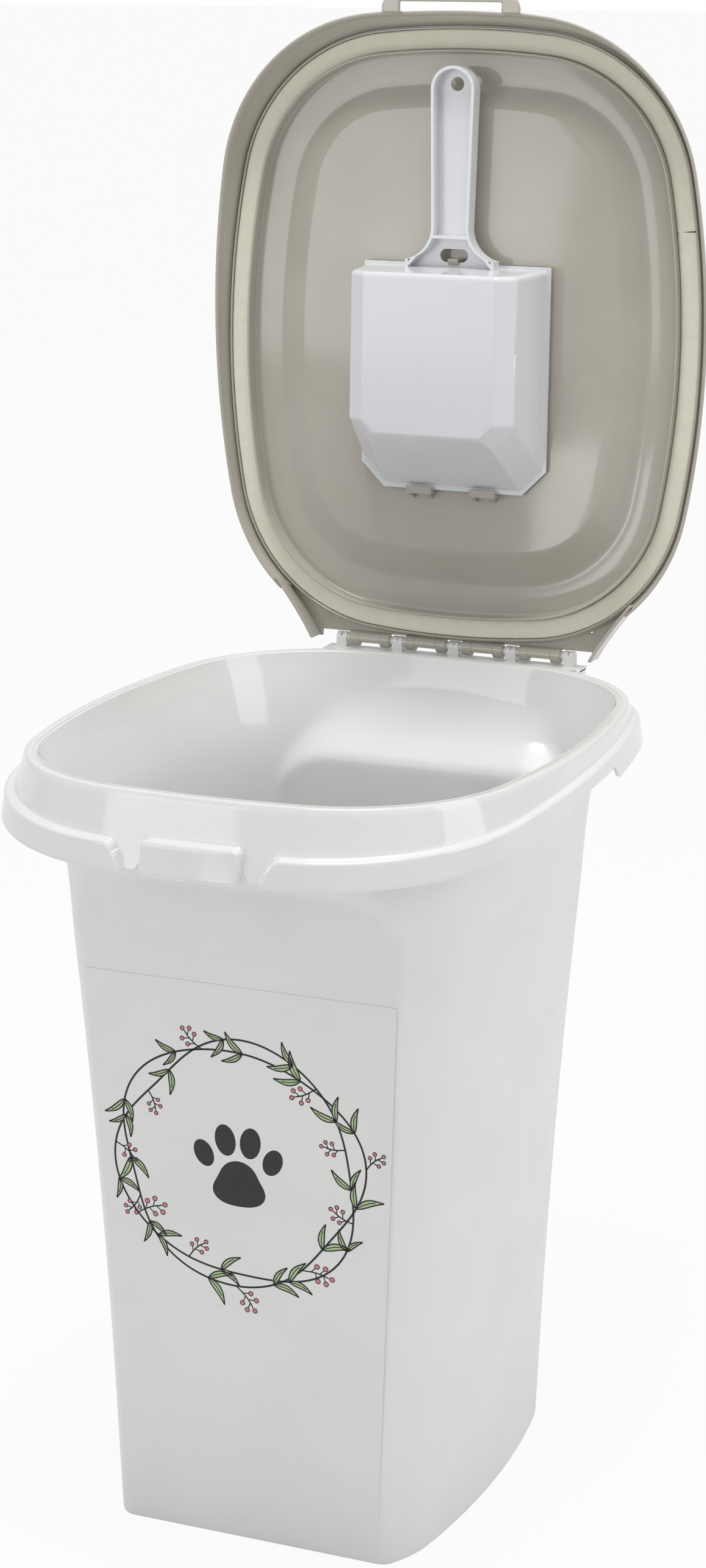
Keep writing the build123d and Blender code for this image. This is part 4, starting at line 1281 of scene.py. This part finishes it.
# ---- lid -------------------------------------------------------------------------
@dataclass
class Lid:
    """Lid: sunk panel, seal channel, drafted flange, ears, knuckles and the front pull.

    It is worked out closed, then turned to the open stop. The channel's walls are given as
    their two faces, grown from the rim's outline, and the height of their foot; the ears'
    curve and web are plan points on the +X side; the knuckles' angles, in degrees, are where
    every leg starts, where an outer leg stops and where the windowed middle stops.
    """

    under: float = 484.6
    wall: float = 2.0
    flange_out: float = 5.5
    flange_wall: float = 2.2
    draft: float = BAND_DRAFT
    top_round: float = 2.2
    ledge_gap: float = 1.0
    groove: float = 2.6
    sink: float = 7.0
    step_high: float = 33.0
    step_low: float = 53.0
    step_shift: float = -4.0
    wall_shift: float = 1.6
    fold: float = 0.16
    ring_crown: float = 0.25
    panel_crown: float = 0.6
    channel_outer: tuple[float, float, float] = (1.9, 0.7, 479.4)
    channel_inner: tuple[float, float, float] = (-12.1, -13.7, 475.2)
    rear_half: float = 94.5
    flange_end: float = 114.5
    slot_half: float = 34.0
    slot_top: float = 457.4
    ear_curve: tuple = ((124.6, 164.2), (108.0, 186.6), (98.0, 203.0))
    ear_web: tuple = ((94.5, 203.0), (94.5, 184.0), (104.0, 174.0), (116.0, 164.0))
    ear_foot: float = 471.4
    plate_span: tuple[float, float] = (186.0, 198.5)
    knuckle_radii: tuple[float, float] = (3.08, 5.08)
    knuckle_half: float = 14.25
    knuckle_angles: tuple[float, float, float] = (154.0, 390.0, 290.0)
    window_half: float = 7.5
    pull_half: float = 46.0
    pull_front: float = -215.0
    pull_back: float = -204.6
    pull_slot: float = -211.5
    pull_heights: tuple[float, float] = (451.0, 454.0)
    pull_corner: float = 7.0

    def dish(
        self, inner: float, outer: float, high: float, low: float, crown: float
    ) -> list[np.ndarray]:
        """Rows from the panel's middle out to the ring: flat, slope and crowned ring.

        The slope is straight between two folds, each a parabola that takes a share of it.

        Args:
            inner: inset of the slope's foot.
            outer: inset of the ring's outer edge.
            high: height of the ring.
            low: height of the panel.
            crown: how far the panel swells at its middle.

        Returns:
            Rows of points.
        """
        span = self.step_low - self.step_high
        rows = []
        rim = RIM.row(-inner, low, self.step_shift)
        for share in (0.12, 0.3, 0.5, 0.7, 0.85, 0.95):
            row = rim * [share, share, 1.0] + [0.0, 0.0, -crown * (1 - share**2)]
            rows.append(row)
        fold = self.fold
        steps = np.concatenate([np.linspace(0, fold, 5), np.linspace(1 - fold, 1, 5)])
        for t in steps:
            near = min(t, 1 - t)
            ramp = near**2 / (2 * fold) / (1 - fold)
            shift = self.step_shift * (1 - t)
            rise = ramp if t < 0.5 else 1 - ramp
            rows.append(RIM.row(-(inner - span * t), low + (high - low) * rise, shift))
        head = inner - span
        for t in np.linspace(0.12, 1, 8):
            swell = self.ring_crown * math.sin(math.pi * t)
            rows.append(RIM.row(-(head + (outer - head) * t), high - swell))
        return rows

    def shell(self) -> np.ndarray:
        """Lid as one grid: top from its middle, flange, channel and underside to the middle.

        Returns:
            Points by row, column and axis.
        """
        base, _ = RIM.loop()
        x, y = np.abs(base[:, 0]), base[:, 1]
        top = self.under + self.wall
        tub = Tub()
        foot = tub.ledge(y + tub.skirt_shift) + self.ledge_gap
        foot = np.where((y < 0) & (x < self.slot_half), self.slot_top, foot)
        foot = np.where((y > 0) & (x < self.flange_end), self.under - 0.1, foot)
        half = np.minimum(self.flange_wall / 2, (self.under - foot) / 2)

        def face(z: np.ndarray | float, inset: np.ndarray | float = 0.0) -> np.ndarray:
            """Row of the flange's drafted face at heights z, inset along the normals."""
            return RIM.row(self.flange_out + (RIM.height - z) * self.draft - inset, z)

        low = self.under - self.sink
        edge = self.flange_out + (RIM.height - top) * self.draft
        rows = self.dish(
            self.step_low + self.wall_shift, 4.0, top, low + self.wall, self.panel_crown
        )
        r = self.top_round
        for off, down in bend_steps(0, 80, 6):
            rows.append(RIM.row(edge - r * off, top - r * down))
        for t in np.linspace(0.1, 1, 7):
            fall = (foot + half - top + 0.9 * r) * t
            rows.append(face(np.maximum(foot + half, (top - 0.9 * r) + fall)))
        for up, off in bend_steps(20, 160, 6):
            rows.append(face(foot + half * up, half * off))
        for t in np.linspace(0.2, 1, 4):
            z = foot + half + (self.under - self.groove - foot - half) * t
            rows.append(face(z, 2 * half + (self.flange_wall - 2 * half) * t))
        outer_far, outer_near, outer_low = self.channel_outer
        inner_near, inner_far, inner_low = self.channel_inner
        for out, z in (
            (outer_far, self.under - self.groove),
            (outer_far, outer_low + 0.3),
            (outer_far - 0.3, outer_low),
            (outer_near + 0.3, outer_low),
            (outer_near, outer_low + 0.3),
            (outer_near, self.under),
            (inner_near, self.under),
            (inner_near, inner_low + 0.5),
            (inner_near - 0.2, inner_low + 0.15),
            (inner_near - 0.5, inner_low),
            (inner_far + 0.5, inner_low),
            (inner_far + 0.2, inner_low + 0.15),
            (inner_far, inner_low + 0.5),
            (inner_far, self.under - 1.2),
            (inner_far - 0.4, self.under - 0.4),
            (inner_far - 1.2, self.under),
        ):
            rows.append(RIM.row(out, z))
        rows += self.dish(self.step_low, -inner_far + 1.6, self.under, low, self.panel_crown)[::-1]
        return np.stack(rows)

    def ears(self, parts: MeshParts) -> None:
        """Add the two swept ears: a web on top and a wall along the curve.

        The curve is the parabola through its start, its middle and its end.
        """
        t = np.linspace(0, 1, 13)[:, None]
        a, b, c = np.array(self.ear_curve)
        curve = a * (1 - t) ** 2 + 2 * (b * 2 - (a + c) / 2) * t * (1 - t) + c * t**2
        inner = curve - np.array([self.flange_wall, 0.6])
        for side in (1, -1):
            flip = np.array([side, 1.0])
            web = np.concatenate([curve, self.ear_web]) * flip
            wall = np.concatenate([curve, inner[::-1]]) * flip
            order = slice(None, None, side)
            parts.add_prism(web[order], Along.Z, self.under, self.under + self.wall)
            parts.add_prism(wall[order], Along.Z, self.ear_foot, self.under)

    def hinge_plate(self, parts: MeshParts) -> None:
        """Add the plate that carries the knuckles between the ears."""
        w, front, back = self.rear_half + 0.5, self.plate_span[0], self.plate_span[1]
        plan = np.array([(-w, front), (w, front), (w, back), (-w, back)])
        parts.add_prism(plan, Along.Z, self.under, self.under + self.wall)

    def knuckles(self, parts: MeshParts) -> None:
        """Add the C-shaped knuckles, each with a window between two legs."""
        bore, outer = self.knuckle_radii
        start, full, short = self.knuckle_angles
        for i in range(HINGE.knuckles):
            centre = HINGE.pitch * (i - (HINGE.knuckles - 1) / 2)
            for low, high, stop in (
                (-self.knuckle_half, -self.window_half, full),
                (-self.window_half, self.window_half, short),
                (self.window_half, self.knuckle_half, full),
            ):
                out = arc_points(HINGE.centre, outer, start, stop, 25)
                back = arc_points(HINGE.centre, bore, start, stop, 25)[::-1]
                section = np.concatenate([out, back])
                parts.add_prism(section, Along.X, centre + low, centre + high)

    def pull(self, parts: MeshParts) -> None:
        """Add the front pull: a bar on two arms, its corners rounded."""
        w, r = self.pull_half, self.pull_corner
        left = arc_points((-w + r, self.pull_front + r), r, 180, 270, 9)
        right = arc_points((w - r, self.pull_front + r), r, 270, 360, 9)
        s, f, b = self.slot_half, self.pull_slot, self.pull_back
        plan = np.concatenate(
            [[(-w, b)], left, right, [(w, b), (s, b), (s, f), (-s, f), (-s, b)]]
        )
        parts.add_prism(plan, Along.Z, *self.pull_heights)

    def build(self, plastic: bpy.types.Material) -> None:
        """Make the lid's shell and its fittings in place of the plain lid.

        Args:
            plastic: their finish.
        """
        parts = MeshParts()
        parts.add_shell(opened(self.shell()))
        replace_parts(parts.piece("lid_shell", Body.LID, "lid_plastic", plastic), "lid")
        for name, make, width in (
            ("lid_ears", self.ears, 0.5),
            ("lid_hinge_plate", self.hinge_plate, 0.5),
            ("lid_knuckles", self.knuckles, 0.3),
            ("lid_pull", self.pull, 1.0),
        ):
            fitting = MeshParts()
            make(fitting)
            fitting.points = [opened(points) for points in fitting.points]
            piece = fitting.piece(name, Body.LID, "lid_plastic", plastic)
            round_edges(piece, width)
            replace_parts(piece, "lid")


# ---- studio ------------------------------------------------------------------------
@dataclass
class Studio:
    """Pale floor, white surroundings, soft lamps and the camera."""

    camera_place: tuple[float, float, float] = (752.4, -1784.7, 954.7)
    target: tuple[float, float, float] = (0.0, 0.0, 480.0)
    lens: float = 75.87
    sensor: float = 36.0
    shift: tuple[float, float] = (0.0111, -0.0402)
    floor_half: float = 30000.0
    floor_cloud: float = 500.0
    world_level: float = 0.52
    floor_shadow: float = 0.08

    @staticmethod
    def look(place: np.ndarray, aim: np.ndarray) -> tuple[float, float, float]:
        """Turn an object that faces down so that it looks along a way, its horizon level.

        Args:
            place: where it is.
            aim: the point that it looks at.

        Returns:
            Its rotation about X, Y and Z.
        """
        way = aim - place
        flat = math.hypot(way[0], way[1])
        return math.pi / 2 + math.atan2(way[2], flat), 0, math.atan2(-way[0], way[1])

    def camera(self) -> None:
        """Set the camera, looking at the target with a level horizon."""
        data = bpy.data.cameras.new("camera")
        data.lens, data.sensor_width = self.lens, self.sensor
        data.sensor_fit = "AUTO"
        data.shift_x, data.shift_y = self.shift
        data.clip_start, data.clip_end = 0.05, 200.0
        obj = bpy.data.objects.new("camera", data)
        bpy.context.scene.collection.objects.link(obj)
        place = np.array(self.camera_place) * MM
        obj.location = place.tolist()
        obj.rotation_euler = self.look(place, np.array(self.target) * MM)
        bpy.context.scene.camera = obj

    def lamp(
        self,
        name: str,
        place: tuple[float, float, float],
        aim: tuple[float, float, float],
        size: tuple[float, float],
        power: float,
    ) -> None:
        """Hang one soft box.

        Args:
            name: its name.
            place: its middle, in metres.
            aim: the point it faces, in metres.
            size: its width and height, in metres.
            power: its watts.
        """
        data = bpy.data.lights.new(name, "AREA")
        data.shape, data.size, data.size_y, data.energy = "RECTANGLE", *size, power
        obj = bpy.data.objects.new(name, data)
        bpy.context.scene.collection.objects.link(obj)
        obj.location = place
        obj.rotation_euler = self.look(np.array(place), np.array(aim))

    def backdrop(self) -> None:
        """Make a pale floor that keeps a faint shadow, and a world the camera sees as white."""
        material, tree, out = new_material("painted_white_floor")
        place = add_node(tree, "ShaderNodeTexCoord").outputs["Object"]
        tint = two_tints(tree, noise(tree, place, self.floor_cloud), "#F4F4F4", "#F0F0F0")
        paint = add_node(tree, "ShaderNodeBsdfDiffuse", {"Color": tint})
        glow = add_node(tree, "ShaderNodeEmission", {"Color": (1, 1, 1, 1), "Strength": 1.0})
        path = add_node(tree, "ShaderNodeLightPath")
        seen = add_node(
            tree,
            "ShaderNodeMath",
            {0: path.outputs["Is Camera Ray"], 1: path.outputs["Is Glossy Ray"]},
            operation="MAXIMUM",
        )
        share = add_node(
            tree,
            "ShaderNodeMath",
            {0: seen.outputs[0], 1: 1 - self.floor_shadow},
            operation="MULTIPLY",
        )
        mixed = add_node(
            tree,
            "ShaderNodeMixShader",
            {0: share.outputs[0], 1: paint.outputs[0], 2: glow.outputs[0]},
        )
        tree.links.new(mixed.outputs[0], out.inputs["Surface"])
        h = self.floor_half
        corners = np.array([(-h, -h, 0), (h, -h, 0), (h, h, 0), (-h, h, 0)]) * MM
        mesh = bpy.data.meshes.new("floor")
        mesh.from_pydata(corners.tolist(), [], [[0, 1, 2, 3]])
        mesh.materials.append(material)
        floor = bpy.data.objects.new("floor", mesh)
        bpy.context.scene.collection.objects.link(floor)

        world = bpy.data.worlds.new("studio")
        world.use_nodes = True
        bpy.context.scene.world = world
        tree = world.node_tree
        tree.nodes.clear()
        end = add_node(tree, "ShaderNodeOutputWorld")
        path = add_node(tree, "ShaderNodeLightPath")
        white = add_node(tree, "ShaderNodeBackground", {"Color": (1, 1, 1, 1), "Strength": 1.0})
        soft = add_node(
            tree, "ShaderNodeBackground", {"Color": (1, 1, 1, 1), "Strength": self.world_level}
        )
        mix = add_node(
            tree,
            "ShaderNodeMixShader",
            {0: path.outputs["Is Camera Ray"], 1: soft.outputs[0], 2: white.outputs[0]},
        )
        tree.links.new(mix.outputs[0], end.inputs["Surface"])

    def build(self) -> None:
        """Set up the whole studio."""
        bpy.context.scene.view_settings.view_transform = "Standard"
        self.camera()
        self.backdrop()
        self.lamp("left", (-1.2, -2.3, 1.07), (0, 0, 0.55), (0.9, 1.2), 7.5)
        self.lamp("right", (2.4, 0.0, 1.3), (0, 0, 0.5), (1.2, 1.4), 13.0)
        self.lamp("top", (0.05, -0.2, 2.5), (0, -0.02, 0.3), (0.9, 0.7), 25.0)
        self.lamp("low", (-0.57, -1.8, 0.3), (0, 0.2, 0.5), (0.13, 0.26), 0.35)


def dress(node: str, material: bpy.types.Material) -> None:
    """Give a CAD node its finish by its material slots.

    Args:
        node: name of the node.
        material: its finish.
    """
    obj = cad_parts[node]
    if obj.material_slots:
        for slot in obj.material_slots:
            slot.material = material
    else:
        obj.data.materials.append(material)
    LOG.info("%s: dressed", node)


def main() -> None:
    logging.basicConfig(level=logging.INFO, format="%(message)s")
    tub_plastic = TUB_PLASTIC.build()
    lid_plastic = LID_PLASTIC.build()
    inks = {"dark": INK_DARK.build(), "leaf": INK_LEAF.build(), "berry": INK_BERRY.build()}
    dress("front_label", LABEL_FILM.build())
    dress("scoop_catch", lid_plastic)
    dress("scoop_holders", lid_plastic)
    dress("scoop", SCOOP_PLASTIC.build())
    Tub().build(tub_plastic)
    HingeBracket().build(tub_plastic)
    Wreath().build(inks)
    Lid().build(lid_plastic)
    Seal().build(FOAM.build())
    Studio().build()


if __name__ == "__main__":
    main()
